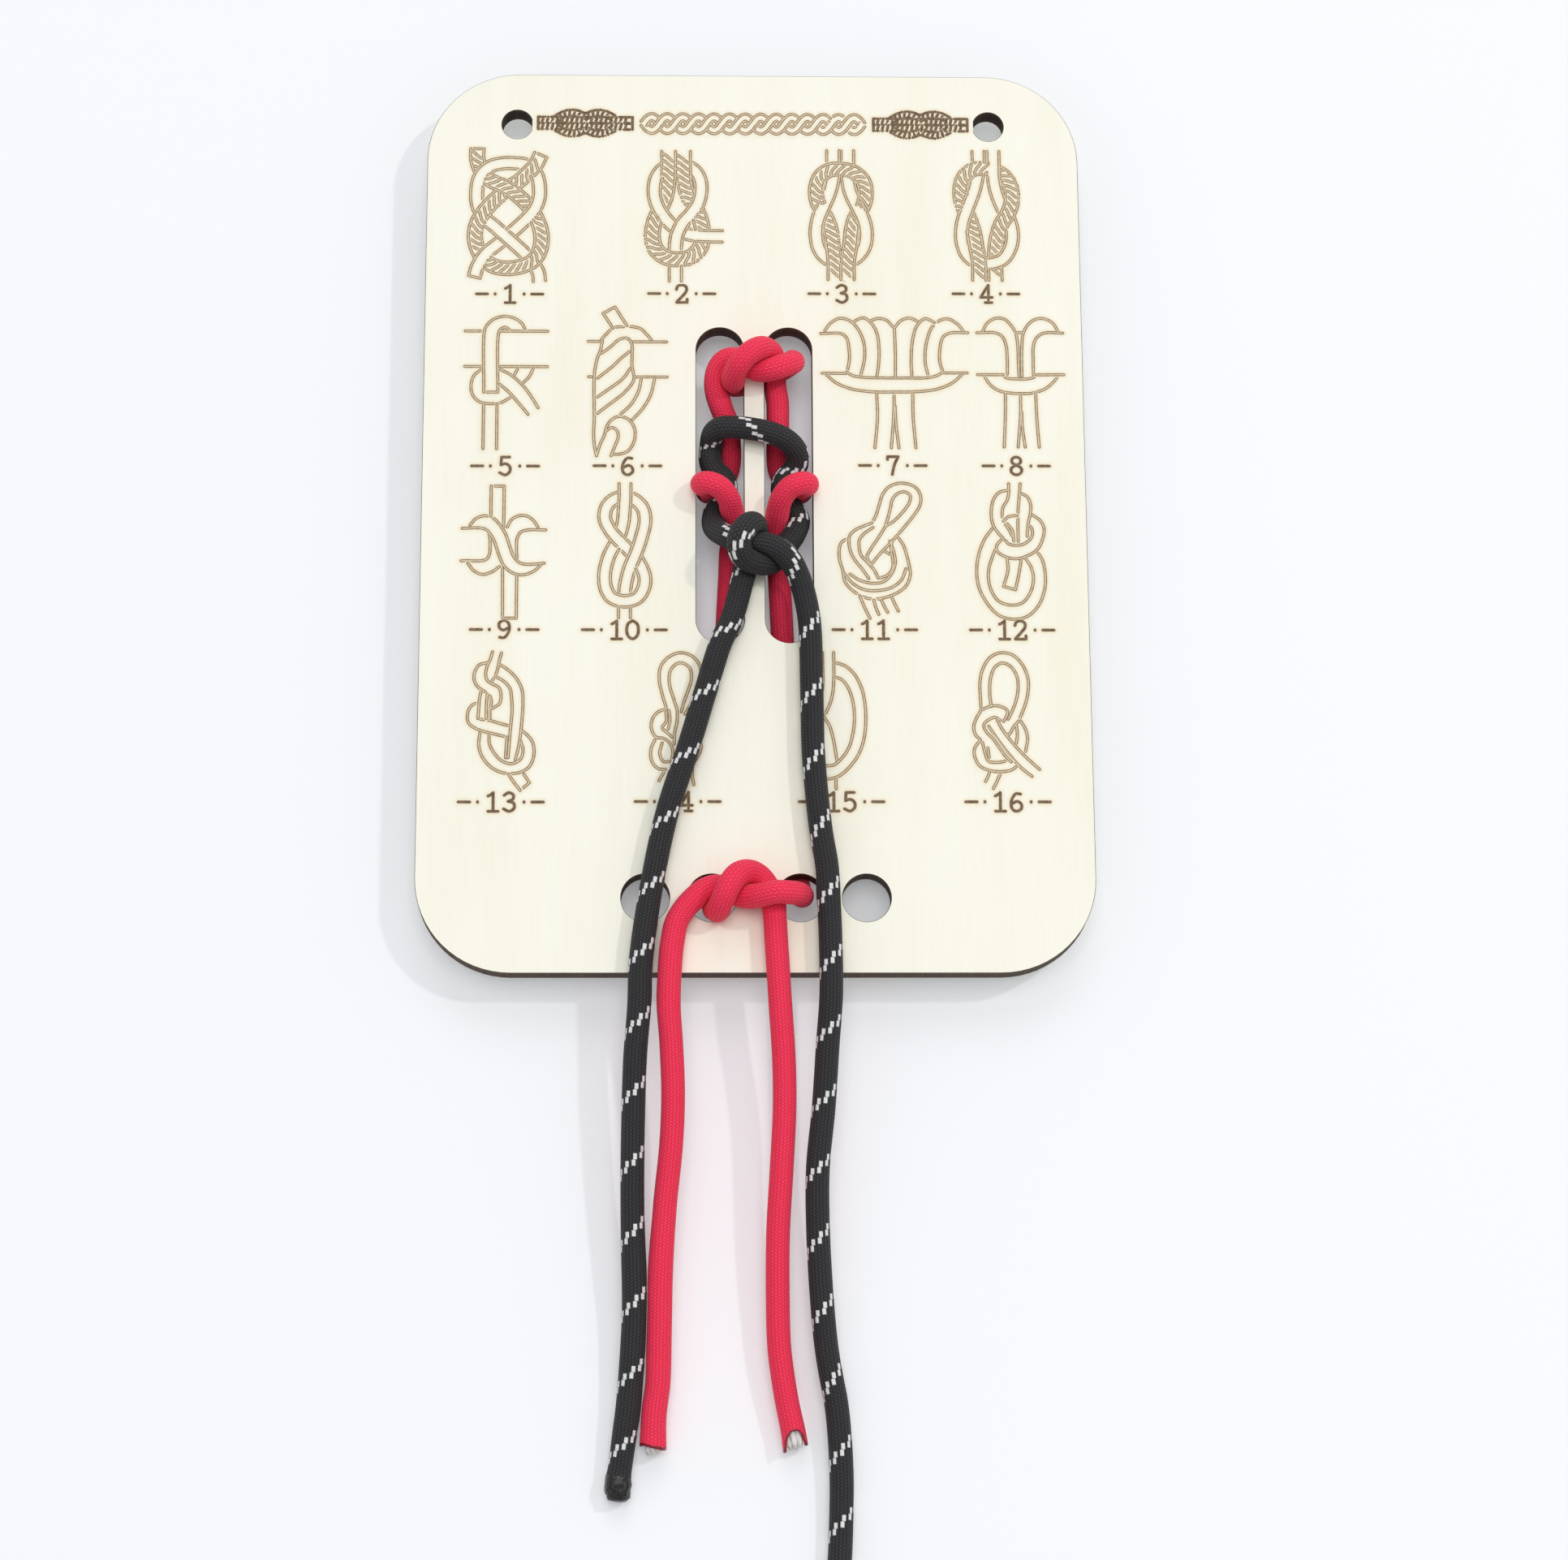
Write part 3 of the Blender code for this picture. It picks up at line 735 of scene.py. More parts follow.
@dataclass
class Board:
    """The plywood sheet with its slots and holes."""

    height: float = 160.0 * MM
    width: float = 113.0 * MM
    corner: float = 16.0 * MM
    slot_width: float = 8.2 * MM
    slot_length: float = 56.4 * MM
    bar: float = 3.5 * MM
    slot_rise: float = 4.9 * MM
    hang_hole: float = 5.4 * MM
    hang_side: float = 15.5 * MM
    hang_top: float = 9.4 * MM
    cord_hole: float = 8.1 * MM
    row_bottom: float = 12.7 * MM
    inner_pair: float = 14.7 * MM
    outer_pair: float = 36.7 * MM
    singed_rim: float = 0.09 * MM
    sharp_angle: float = 35.0

    def edges(self) -> list[CutEdge]:
        """List every cut line, the outline first.

        Returns:
            The cut lines.
        """
        found = [CutEdge(EdgeForm.SHEET, 0.0, 0.0, self.width, self.height, self.corner)]
        slot_x = self.bar / 2.0 + self.slot_width / 2.0
        row = self.row_bottom - self.height / 2.0
        for side in (-1.0, 1.0):
            found.append(CutEdge(EdgeForm.SLOT, side * slot_x, self.slot_rise, self.slot_width, self.slot_length,
                                 self.slot_width / 2.0))
            found.append(self.hole(side * (self.width / 2.0 - self.hang_side), self.height / 2.0 - self.hang_top,
                                   self.hang_hole))
            for pair in (self.inner_pair, self.outer_pair):
                found.append(self.hole(side * pair / 2.0, row, self.cord_hole))
        return found

    @staticmethod
    def hole(x: float, y: float, width: float) -> CutEdge:
        """Give the cut line of a round hole."""
        return CutEdge(EdgeForm.HOLE, x, y, width, width, width / 2.0)

    def build(self, veneer: bpy.types.Material, charred: bpy.types.Material) -> None:
        """Build the sheet and let it stand for the three plies.

        Args:
            veneer: Finish of both faces.
            charred: Finish of the cut edges.
        """
        shape = bmesh.new()
        levels = ((0.0, self.singed_rim), (-self.singed_rim, 0.0), (-SHEET + self.singed_rim, 0.0),
                  (-SHEET, self.singed_rim))
        loops: list[list[list[Any]]] = [[] for _ in levels]
        for edge in self.edges():
            for rank, (depth, inset) in enumerate(levels):
                loops[rank].append([shape.verts.new((x, y, FACE_HEIGHT + depth)) for x, y in edge.outline(inset)])
        for rank in range(len(levels) - 1):
            for upper, lower in zip(loops[rank], loops[rank + 1]):
                for k in range(len(upper)):
                    nxt = (k + 1) % len(upper)
                    wall = shape.faces.new((upper[k], lower[k], lower[nxt], upper[nxt]))
                    wall.material_index = 1
                    wall.smooth = True
        for rank in (0, len(levels) - 1):
            self.fill(shape, loops[rank])
        bmesh.ops.recalc_face_normals(shape, faces=shape.faces)
        mesh = take_mesh(shape, "board_sheet")
        mesh.set_sharp_from_angle(angle=math.radians(self.sharp_angle))
        piece = new_piece("board_sheet", mesh, "face_veneer", veneer, charred)
        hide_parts("front_veneer", "core_veneer", "back_veneer")

    def clear(self, places: np.ndarray, gap: float) -> np.ndarray:
        """Tell which places keep clear of the wood.

        Args:
            places: Rows of x, y and z.
            gap: Least distance from the wood.

        Returns:
            True where a place is clear.
        """
        edges = self.edges()
        free = (places[:, 2] > FACE_HEIGHT + gap) | (places[:, 2] < FACE_HEIGHT - SHEET - gap)
        free |= edges[0].distance(places) > gap
        for edge in edges[1:]:
            free |= edge.distance(places) < -gap
        return free

    @staticmethod
    def fill(shape: Any, rings: list[list[Any]]) -> None:
        """Fill one face of the sheet, leaving the slots and holes open.

        Args:
            shape: The mesh being built.
            rings: The face's rings of corners, the outline first.
        """
        corners = [corner for ring in rings for corner in ring]
        borders = []
        start = 0
        for ring in rings:
            borders += [(start + k, start + (k + 1) % len(ring)) for k in range(len(ring))]
            start += len(ring)
        places, _, faces, sources, _, _ = delaunay_2d_cdt([corner.co.xy for corner in corners], borders, [], 2,
                                                          NEARLY_NOTHING)
        rims = [[corner.co.xy for corner in ring] for ring in rings]
        for face in faces:
            centre = sum((places[k] for k in face), Vector((0.0, 0.0))) / len(face)
            if inside(centre, rims[0]) and not any(inside(centre, rim) for rim in rims[1:]):
                shape.faces.new([corners[sources[k][0]] for k in face])


def inside(point: Any, ring: Sequence[Any]) -> bool:
    """Tell whether a point lies inside a ring of points.

    Args:
        point: The point.
        ring: The ring's points.

    Returns:
        True where it lies inside.
    """
    odd = False
    for k in range(len(ring)):
        a, b = ring[k - 1], ring[k]
        if (a[1] > point[1]) != (b[1] > point[1]):
            if point[0] < (b[0] - a[0]) * (point[1] - a[1]) / (b[1] - a[1]) + a[0]:
                odd = not odd
    return odd


# Engraved lines


@dataclass(frozen=True)
class Rope:
    """A rope of an engraved figure, drawn by its two edges and hidden where another part lies over it.

    Each point is x, y and, where it isn't PLAIN_RANK, its rank: the higher one covers the lower.
    """

    points: Sequence[Sequence[float]]
    width: float = 2.3
    laid: bool = False
    lay_step: float = 1.25
    lay_slant: float = 0.75
    caps: tuple[bool, bool] = (False, False)


@dataclass(frozen=True)
class Figure:
    """An engraved figure: its middle on the board, its ropes and its single strokes, in millimetres."""

    number: int
    x: float
    y: float
    number_x: float
    number_y: float
    ropes: Sequence[Rope] = ()
    strokes: Sequence[Sequence[Point2]] = ()


def flowing(points: Sequence[Sequence[float]]) -> np.ndarray:
    """Read a smooth flat curve through points, every FLOW_STEP.

    Args:
        points: Points of x, y and an optional rank.

    Returns:
        Rows of x, y and rank.
    """
    flat = [(point[0], point[1], 0.0, point[2] if len(point) > 2 else PLAIN_RANK) for point in points]
    places, ranks = smooth_route(flat, 12)
    places = places[:, :2] / MM
    run = run_along(places)
    marks = np.linspace(0.0, run[-1], max(2, round(run[-1] / FLOW_STEP) + 1))
    return read_at(marks, run, np.column_stack([places, ranks]))


def shown_runs(line: np.ndarray, hidden: np.ndarray) -> list[np.ndarray]:
    """Split a line into its parts that aren't hidden.

    Args:
        line: Places along the line.
        hidden: True where a place is hidden.

    Returns:
        The parts.
    """
    runs = []
    start = None
    for k, covered in enumerate([*hidden, True]):
        if not covered and start is None:
            start = k
        elif covered and start is not None:
            if k - start > 2:
                runs.append(line[start:k])
            start = None
    return runs


class RopeArt:
    """Turns the ropes of a figure into the strokes that show, with sizes in millimetres."""

    rank_step: float = 0.2
    edge_slack: float = 0.01
    own_bend: float = 1.1
    cap_points: int = 9
    lay_points: int = 15

    def __init__(self, ropes: Sequence[Rope]) -> None:
        """Read the ropes' middle lines."""
        self.ropes = ropes
        self.middles = [flowing(rope.points) for rope in ropes]

    def covered(self, line: np.ndarray, ranks: np.ndarray, owner: int, at: np.ndarray) -> np.ndarray:
        """Tell which places of a line lie under another part of a rope.

        Args:
            line: Places of x and y.
            ranks: Rank of each place.
            owner: Which rope the line belongs to.
            at: Which place of the owner's middle line each place lies beside.

        Returns:
            True where a place is covered.
        """
        hidden = np.zeros(len(line), bool)
        for index, (rope, middle) in enumerate(zip(self.ropes, self.middles)):
            gaps = np.linalg.norm(line[:, None, :] - middle[None, :, :2], axis=2)
            over = gaps < rope.width / 2.0 - self.edge_slack
            over &= middle[None, :, 2] > ranks[:, None] + self.rank_step
            if index == owner:
                apart = np.abs(at[:, None] - np.arange(len(middle))[None, :]) * FLOW_STEP
                over &= apart > rope.width * self.own_bend
            hidden |= over.any(1)
        return hidden

    def strokes(self) -> list[np.ndarray]:
        """List the strokes that show.

        Returns:
            Rows of x and y for each stroke.
        """
        found: list[np.ndarray] = []
        for owner, (rope, middle) in enumerate(zip(self.ropes, self.middles)):
            across = quarter_turned(ways_along(middle[:, :2])) * rope.width / 2.0
            places = np.arange(len(middle))
            for side in (-1.0, 1.0):
                line = middle[:, :2] + side * across
                found += shown_runs(line, self.covered(line, middle[:, 2], owner, places))
            for end, capped in zip((0, len(middle) - 1), rope.caps):
                if capped:
                    share = np.linspace(-1.0, 1.0, self.cap_points)[:, None]
                    found.append(middle[end, :2] + share * across[end])
            if rope.laid:
                found += self.lay(owner, rope, middle, across)
        return found

    def lay(self, owner: int, rope: Rope, middle: np.ndarray, across: np.ndarray) -> list[np.ndarray]:
        """List the slanting strokes between the strands of a laid rope.

        Args:
            owner: Which rope it is.
            rope: The rope.
            middle: Its middle line.
            across: From the middle line to its edge.

        Returns:
            Rows of x and y for each stroke.
        """
        found = []
        length = (len(middle) - 1) * FLOW_STEP
        share = np.linspace(-1.0, 1.0, self.lay_points)
        for mark in np.arange(rope.lay_step, length - rope.lay_step * 0.5, rope.lay_step):
            ahead = mark + rope.lay_slant * np.sin(share * math.pi / 2.0)
            at = np.clip(ahead / FLOW_STEP, 0, len(middle) - 1)
            low = np.floor(at).astype(int)
            line = middle[low, :2] + share[:, None] * across[low]
            found += shown_runs(line, self.covered(line, middle[low, 2], owner, low))
        return found


DIGITS: dict[str, list[list[Point2]]] = {
    "0": [[(0.31, 1.0), (0.08, 0.84), (0.0, 0.5), (0.08, 0.16), (0.31, 0.0), (0.54, 0.16), (0.62, 0.5), (0.54, 0.84),
           (0.31, 1.0)]],
    "1": [[(0.08, 0.82), (0.2, 0.88), (0.34, 1.0)], [(0.34, 1.0), (0.34, 0.5), (0.34, 0.0)],
          [(0.08, 0.0), (0.6, 0.0)]],
    "2": [[(0.03, 0.74), (0.1, 0.93), (0.32, 1.0), (0.54, 0.9), (0.57, 0.68), (0.4, 0.42), (0.04, 0.02)],
          [(0.04, 0.0), (0.6, 0.0)], [(0.6, 0.0), (0.6, 0.18)]],
    "3": [[(0.05, 0.86), (0.28, 1.0), (0.53, 0.88), (0.5, 0.64), (0.26, 0.54)],
          [(0.26, 0.54), (0.54, 0.45), (0.58, 0.18), (0.32, 0.0), (0.03, 0.13)]],
    "4": [[(0.44, 0.0), (0.44, 1.0)], [(0.44, 1.0), (0.02, 0.3)], [(0.02, 0.3), (0.64, 0.3)],
          [(0.26, 0.0), (0.62, 0.0)]],
    "5": [[(0.54, 1.0), (0.12, 1.0)], [(0.12, 1.0), (0.09, 0.56)],
          [(0.09, 0.56), (0.32, 0.63), (0.55, 0.48), (0.57, 0.2), (0.33, 0.0), (0.03, 0.12)]],
    "6": [[(0.54, 0.92), (0.3, 0.94), (0.08, 0.62), (0.04, 0.28), (0.16, 0.05), (0.36, 0.0), (0.57, 0.14),
           (0.57, 0.38), (0.36, 0.53), (0.09, 0.4)]],
    "7": [[(0.03, 0.84), (0.03, 1.0)], [(0.03, 1.0), (0.6, 1.0)], [(0.6, 1.0), (0.4, 0.55), (0.28, 0.0)]],
    "8": [[(0.31, 0.54), (0.09, 0.68), (0.1, 0.9), (0.31, 1.0), (0.52, 0.9), (0.53, 0.68), (0.31, 0.54), (0.05, 0.38),
           (0.05, 0.14), (0.31, 0.0), (0.57, 0.14), (0.57, 0.38), (0.31, 0.54)]],
    "9": [[(0.08, 0.08), (0.32, 0.06), (0.54, 0.38), (0.58, 0.72), (0.46, 0.95), (0.26, 1.0), (0.05, 0.86),
           (0.05, 0.62), (0.26, 0.47), (0.53, 0.6)]],
}

FIGURES = [
    Figure(1, -42, 54, -42.0, 39.1, ropes=[
        Rope([(-6.1, -11.8), (-5.7, -10.2), (-4.9, -8.5, 3), (-3.9, -7.2, 3), (-2.4, -5.9), (-0.8, -4.5, 1),
              (0.8, -3.0, 1), (2.2, -1.6), (3.3, -0.4, 3), (4.3, 1.1, 3), (4.9, 3.0), (4.9, 5.2), (4.4, 7.2),
              (3.4, 8.5, 1), (2.4, 9.1, 1), (0.8, 9.3), (-1.4, 9.3), (-3.4, 8.8), (-4.8, 7.7, 3), (-5.6, 6.2, 3),
              (-5.9, 4.2), (-5.8, 2.0), (-5.2, 0.2, 1), (-4.2, -1.2, 1), (-2.9, -2.3), (-1.4, -3.7, 3), (0.2, -5.2, 3),
              (1.8, -6.7), (3.1, -8.1, 1), (4.2, -9.6, 1), (4.9, -11.0), (5.1, -12.5)], width=2.1, caps=(True, False)),
        Rope([(-5.9, 12.0), (-5.9, 10.2), (-5.5, 8.6), (-4.6, 7.0), (-3.2, 5.9), (-1.6, 5.2, 3), (0.2, 4.1, 3),
              (1.8, 2.7), (3.2, 1.2), (4.4, -0.8), (5.2, -3.0), (5.4, -5.2), (4.9, -7.4), (3.8, -8.9), (2.0, -9.8),
              (-0.4, -10.2), (-2.8, -9.8), (-4.6, -8.4), (-5.7, -6.4), (-6.1, -4.0), (-5.7, -1.8), (-4.7, 0.1),
              (-3.3, 1.9), (-1.8, 3.4), (-0.2, 4.9), (1.4, 6.0), (2.8, 7.4), (4.2, 9.0), (5.1, 10.9)],
             laid=True, caps=(True, True)),
    ]),
    Figure(2, -12, 54, -12.4, 39.3, ropes=[
        Rope([(-2.7, 11.7), (-2.7, 9.0), (-2.8, 6.0), (-3.2, 3.4), (-4.1, 1.0), (-5.1, -1.4), (-5.5, -4.0),
              (-4.9, -6.5), (-3.2, -8.0), (-1.0, -8.4), (1.2, -7.9), (2.7, -6.3), (3.2, -4.0), (2.9, -1.4), (2.1, 0.9),
              (0.8, 3.2), (0.0, 6.0), (-0.1, 9.0), (-0.1, 11.7)], width=2.4, laid=True),
        Rope([(-1.5, -12.4), (-1.5, -10.0), (-1.5, -8.0, 1), (-1.5, -6.0), (-1.2, -3.8, 3), (-0.2, -1.6, 3),
              (1.2, 0.1, 3), (2.4, 2.0, 3), (2.9, 4.2), (2.8, 6.2), (2.0, 7.9), (0.6, 8.9, 1), (-1.4, 9.3, 1),
              (-3.4, 8.6, 1), (-4.8, 6.8), (-5.2, 4.2), (-4.8, 2.0, 3), (-3.8, 0.0, 3), (-2.4, -1.8), (-0.8, -3.1),
              (1.0, -3.8), (3.4, -4.05, 3), (6.6, -4.1, 3)], width=2.1),
    ]),
    Figure(3, 15, 54, 15.2, 39.4, ropes=[
        Rope([(-1.1, 12.0), (-1.1, 9.6), (-1.1, 7.2), (-1.7, 4.4), (-2.8, 1.6), (-3.8, -1.0), (-4.1, -4.0),
              (-3.4, -6.8), (-1.9, -8.3), (0.3, -8.8), (2.4, -8.1), (4.0, -6.2), (4.5, -3.6), (4.1, -1.0), (3.0, 1.6),
              (1.9, 4.2), (1.4, 7.2), (1.4, 9.6), (1.4, 12.0)], width=2.2),
        Rope([(-1.0, -12.0), (-1.0, -8.4, 3), (-1.3, -5.4), (-1.8, -2.2), (-2.8, 0.3, 1), (-3.8, 2.2), (-4.1, 4.6),
              (-3.4, 7.0), (-1.8, 8.3, 3), (0.2, 8.5, 3), (2.4, 8.0, 3), (4.1, 6.3), (4.5, 3.8), (4.0, 1.6),
              (2.9, 0.0, 1), (2.1, -2.6), (1.8, -5.4), (1.3, -8.4, 3), (1.2, -12.0)], laid=True),
    ]),
    Figure(4, 40, 54, 40.1, 39.5, ropes=[
        Rope([(-0.8, 12.0), (-0.8, 9.8), (-1.0, 7.4), (-1.7, 4.4), (-2.8, 1.4), (-3.7, -1.4), (-3.9, -4.6),
              (-3.1, -7.2), (-1.5, -8.6), (0.8, -8.9), (3.0, -8.2), (4.4, -6.2), (4.9, -3.6), (4.4, -0.8), (3.3, 1.4),
              (2.3, 4.2), (1.8, 7.2), (1.8, 9.6), (1.8, 12.0)], width=2.1),
        Rope([(-1.0, -12.0), (-1.0, -8.6, 3), (-1.4, -6.0), (-1.8, -3.2), (-2.6, -0.4, 1), (-3.6, 1.8, 1), (-4.0, 4.4),
              (-3.4, 7.0), (-1.8, 8.5, 3), (-0.2, 8.8, 3), (1.6, 8.5, 1), (3.6, 7.4, 1), (4.8, 5.2), (4.9, 2.6),
              (4.1, 0.2, 3), (3.0, -1.6, 3), (2.3, -3.8), (1.9, -6.4), (1.8, -8.8, 1), (1.8, -12.0)], laid=True),
    ]),
    Figure(5, -42, 24, -42.4, 7.9, strokes=[
        [(-7.5, 8.3), (-4.2, 8.3)], [(-1.7, 8.3), (6.6, 8.3)], [(-7.5, 1.85), (-4.3, 1.85)],
        [(-1.5, 1.85), (6.6, 1.85)], [(-4.2, -13.0), (-4.2, -4.9)],
        [(-4.2, -2.8), (-4.2, 8.4), (-3.7, 9.5), (-2.6, 10.5), (-0.9, 11.0), (0.8, 10.7), (2.1, 9.8), (2.7, 8.7)],
        [(-1.9, -13.0), (-1.9, -4.9)], [(-1.8, -2.8), (-1.8, 7.8), (-1.4, 8.7), (-0.6, 9.0), (0.1, 8.5)],
        [(-4.2, -2.8), (-1.8, -2.8)],
        [(-4.7, 1.3), (-5.9, 0.2), (-6.4, -1.7), (-6.0, -3.5), (-4.8, -4.6), (-3.0, -4.9), (-1.3, -4.7), (0.6, -3.6)],
        [(-1.4, 1.3), (0.3, 0.4), (2.3, -1.4), (3.8, -3.4), (5.1, -5.6)],
        [(-1.6, -1.3), (0.0, -2.7), (1.8, -4.8), (3.4, -6.8)], [(1.5, 1.4), (0.9, 0.2)],
        [(4.2, 1.5), (3.5, 0.0), (2.4, -1.2)],
    ]),
    Figure(6, -22, 23, -21.6, 8.0, strokes=[
        [(-6.4, 7.5), (-4.2, 7.5)], [(1.3, 7.45), (7.0, 7.45)], [(-6.3, 1.05), (-5.8, 1.05)],
        [(1.4, 1.05), (7.1, 1.05)], [(-2.2, 9.9), (-3.9, 12.6)], [(-3.9, 12.6), (-1.9, 13.8)],
        [(-1.9, 13.8), (0.2, 10.4)],
        [(-4.2, 7.8), (-3.2, 9.0), (-2.1, 10.0), (-0.6, 10.2), (1.2, 10.2), (2.6, 9.8), (3.6, 8.8), (4.4, 7.8)],
        [(-4.0, 7.6), (-4.3, 6.0), (-4.9, 4.2), (-5.3, 2.0), (-5.4, -1.0), (-5.3, -6.0), (-5.4, -9.0), (-5.3, -11.0),
         (-4.9, -13.2)],
        [(-4.2, 5.3), (-2.6, 6.5), (-1.2, 7.8), (0.2, 8.1), (1.0, 7.2), (1.1, 5.0), (1.1, 3.0), (1.4, 1.4)],
        [(-4.8, 0.8), (-2.4, 2.8), (-0.6, 4.6), (0.7, 5.7)], [(-4.8, -2.6), (-2.6, -1.0), (-0.4, 0.8), (0.8, 2.6)],
        [(-4.8, -5.6), (-2.6, -3.8), (-0.4, -2.0), (1.2, 0.0), (1.5, 0.9)],
        [(2.7, 0.8), (2.2, -1.6), (0.9, -4.0), (-0.8, -5.7)], [(5.0, 0.8), (4.3, -2.2), (3.0, -4.6), (1.2, -6.7)],
        [(-4.9, -13.2), (-4.3, -11.2), (-3.6, -9.6), (-3.1, -7.8), (-2.2, -6.6), (-0.9, -6.1), (0.6, -6.7),
         (1.6, -8.4), (1.5, -10.6), (0.4, -12.4), (-1.0, -12.9), (-2.3, -12.9)],
        [(-3.4, -8.9), (-2.4, -8.1), (-1.4, -8.7), (-1.2, -9.8), (-1.7, -11.3), (-2.4, -13.2)],
    ]),
    Figure(7, 24, 24, 23.6, 8.2, strokes=[
        [(-12.5, 8.1), (-8.9, 8.05), (-8.0, 7.2), (-7.7, 5.6), (-7.6, 3.6), (-8.0, 1.2)],
        [(-11.8, 8.6), (-10.8, 10.0), (-9.2, 10.9), (-7.4, 10.4), (-6.0, 8.8), (-5.1, 6.4), (-5.0, 3.6), (-5.7, 0.5)],
        [(-7.0, 10.2), (-5.2, 11.0), (-4.0, 10.3), (-2.9, 8.4), (-2.5, 5.4), (-2.6, 2.6), (-2.9, 0.4)],
        [(-4.1, 10.4), (-2.6, 10.9), (-1.2, 10.6), (0.1, 9.2)], [(0.2, 9.1), (0.3, 5.0), (0.25, 0.3)],
        [(0.2, 9.2), (1.3, 10.5), (2.8, 11.0), (4.2, 10.4)],
        [(3.1, 0.3), (3.0, 3.0), (3.3, 7.0), (4.1, 9.6), (5.5, 10.9), (7.1, 10.2)],
        [(5.9, 0.4), (5.4, 3.0), (5.7, 6.6), (7.0, 9.8), (9.2, 10.9), (11.0, 10.0), (12.1, 8.6)],
        [(8.4, 1.2), (7.9, 3.2), (8.0, 5.6), (8.6, 7.6), (9.8, 8.3), (12.8, 8.35)], [(-12.3, 0.85), (-8.2, 0.85)],
        [(8.3, 1.0), (12.6, 1.0)],
        [(-8.1, 1.1), (-7.2, 0.5), (-5.4, 0.15), (-2.0, 0.05), (2.0, 0.05), (5.6, 0.1), (7.4, 0.5), (8.3, 1.1)],
        [(-11.6, 0.6), (-9.9, -0.9), (-7.2, -2.0), (-3.6, -2.5), (0.0, -2.5), (3.6, -2.45), (7.2, -2.0), (9.9, -0.9),
         (11.7, 0.7)],
        [(-3.0, -2.6), (-2.9, -7.0), (-3.4, -12.6)], [(0.0, -2.7), (-0.1, -6.4), (-0.6, -12.6)],
        [(0.1, -5.0), (0.3, -9.0), (0.7, -12.6)], [(3.2, -2.6), (3.2, -7.0), (3.6, -12.6)],
    ]),
    Figure(8, 45, 24, 44.7, 8.2, strokes=[
        [(-6.6, 8.35), (-3.4, 8.35), (-2.2, 7.6), (-1.6, 6.0), (-1.45, 3.6), (-1.5, 0.8)],
        [(-5.6, 8.6), (-4.8, 10.1), (-3.4, 11.0), (-1.9, 10.9), (-0.8, 9.9), (0.1, 8.3), (0.4, 6.0), (0.45, 3.0),
         (0.5, 0.3)],
        [(7.4, 8.6), (6.5, 10.2), (4.9, 11.0), (3.4, 10.8), (2.2, 9.8), (1.4, 8.3), (1.1, 6.0), (1.0, 3.0),
         (1.0, 0.3)],
        [(8.2, 8.35), (5.0, 8.35), (3.7, 7.5), (3.1, 6.0), (3.0, 3.6), (3.0, 0.7)], [(0.2, 8.4), (1.3, 8.4)],
        [(-6.6, 0.7), (-2.2, 0.7)], [(3.5, 0.7), (8.2, 0.75)],
        [(-2.4, 0.6), (-1.6, 0.1), (0.2, -0.05), (2.2, 0.0), (3.6, 0.5)],
        [(-5.5, 0.5), (-4.5, -1.1), (-3.0, -2.2), (-1.2, -2.6), (0.8, -2.7), (2.8, -2.6), (4.8, -1.9), (6.2, -0.8),
         (7.2, 0.5)],
        [(-1.9, -2.7), (-2.0, -7.0), (-2.3, -12.4)], [(0.7, -2.8), (0.6, -7.0), (0.1, -12.4)],
        [(0.8, -6.0), (0.9, -9.0), (1.3, -12.4)], [(3.3, -2.7), (3.4, -7.0), (3.7, -12.4)],
    ]),
    Figure(9, -42, -7, -42.2, -21.1, strokes=[
        [(-7.5, 3.75), (-4.2, 3.8), (-3.2, 3.3), (-2.8, 2.0), (-2.75, 0.4), (-2.9, -1.0), (-3.5, -1.8), (-7.6, -2.0)],
        [(-6.2, 4.3), (-5.2, 5.5), (-3.8, 6.0), (-2.5, 5.7), (-1.3, 4.6), (-0.2, 2.8), (0.6, 0.5), (1.3, -1.3),
         (2.4, -2.4), (3.8, -2.6), (6.4, -2.4)],
        [(-3.2, 3.4), (-2.2, 1.8), (-1.3, -0.8), (-0.5, -2.7), (0.7, -3.9), (2.2, -4.45), (3.6, -4.3), (4.8, -3.7),
         (5.8, -2.7)],
        [(0.1, 4.0), (0.8, 5.3), (2.0, 6.0), (3.3, 6.0), (4.4, 5.3), (5.3, 4.0)],
        [(6.6, 3.5), (3.6, 3.5), (2.4, 3.1), (1.8, 2.0), (1.7, 0.4), (1.8, -1.6)],
        [(-6.5, -2.4), (-5.4, -3.8), (-4.0, -4.4), (-2.5, -4.0), (-1.1, -3.0)], [(-2.7, 11.3), (-2.7, 5.9)],
        [(-0.5, 11.3), (-0.5, 4.0)], [(-2.7, 11.3), (-0.5, 11.3)], [(-0.6, -3.4), (-0.5, -12.1)],
        [(1.8, -4.6), (1.8, -12.1)], [(-0.5, -12.1), (1.8, -12.1)],
    ]),
    Figure(10, -22, -7, -22.0, -21.1, ropes=[
        Rope([(0.0, 11.8), (0.0, 9.4, 3), (-0.1, 7.4, 3), (-0.3, 5.0), (-0.8, 2.9, 1), (-1.7, 0.9, 1), (-2.7, -1.2),
              (-3.35, -4.0), (-3.2, -6.6), (-2.2, -8.4), (0.0, -9.1, 3), (2.1, -8.5, 3), (3.2, -6.8), (3.4, -4.8),
              (2.6, -2.6), (1.6, -1.1, 1), (0.4, 0.3, 1), (-1.0, 1.7, 3), (-2.4, 3.4, 3), (-3.4, 5.6), (-3.0, 7.8),
              (-1.6, 9.1), (0.0, 9.4, 1), (1.6, 8.9), (3.0, 7.4), (3.4, 5.2), (2.9, 2.6), (1.9, -0.6, 3),
              (0.8, -3.4, 3), (0.1, -6.6), (0.0, -9.0, 1), (0.0, -12.0)], width=2.0),
    ]),
    Figure(11, 20, -7, 20.2, -21.0, strokes=[
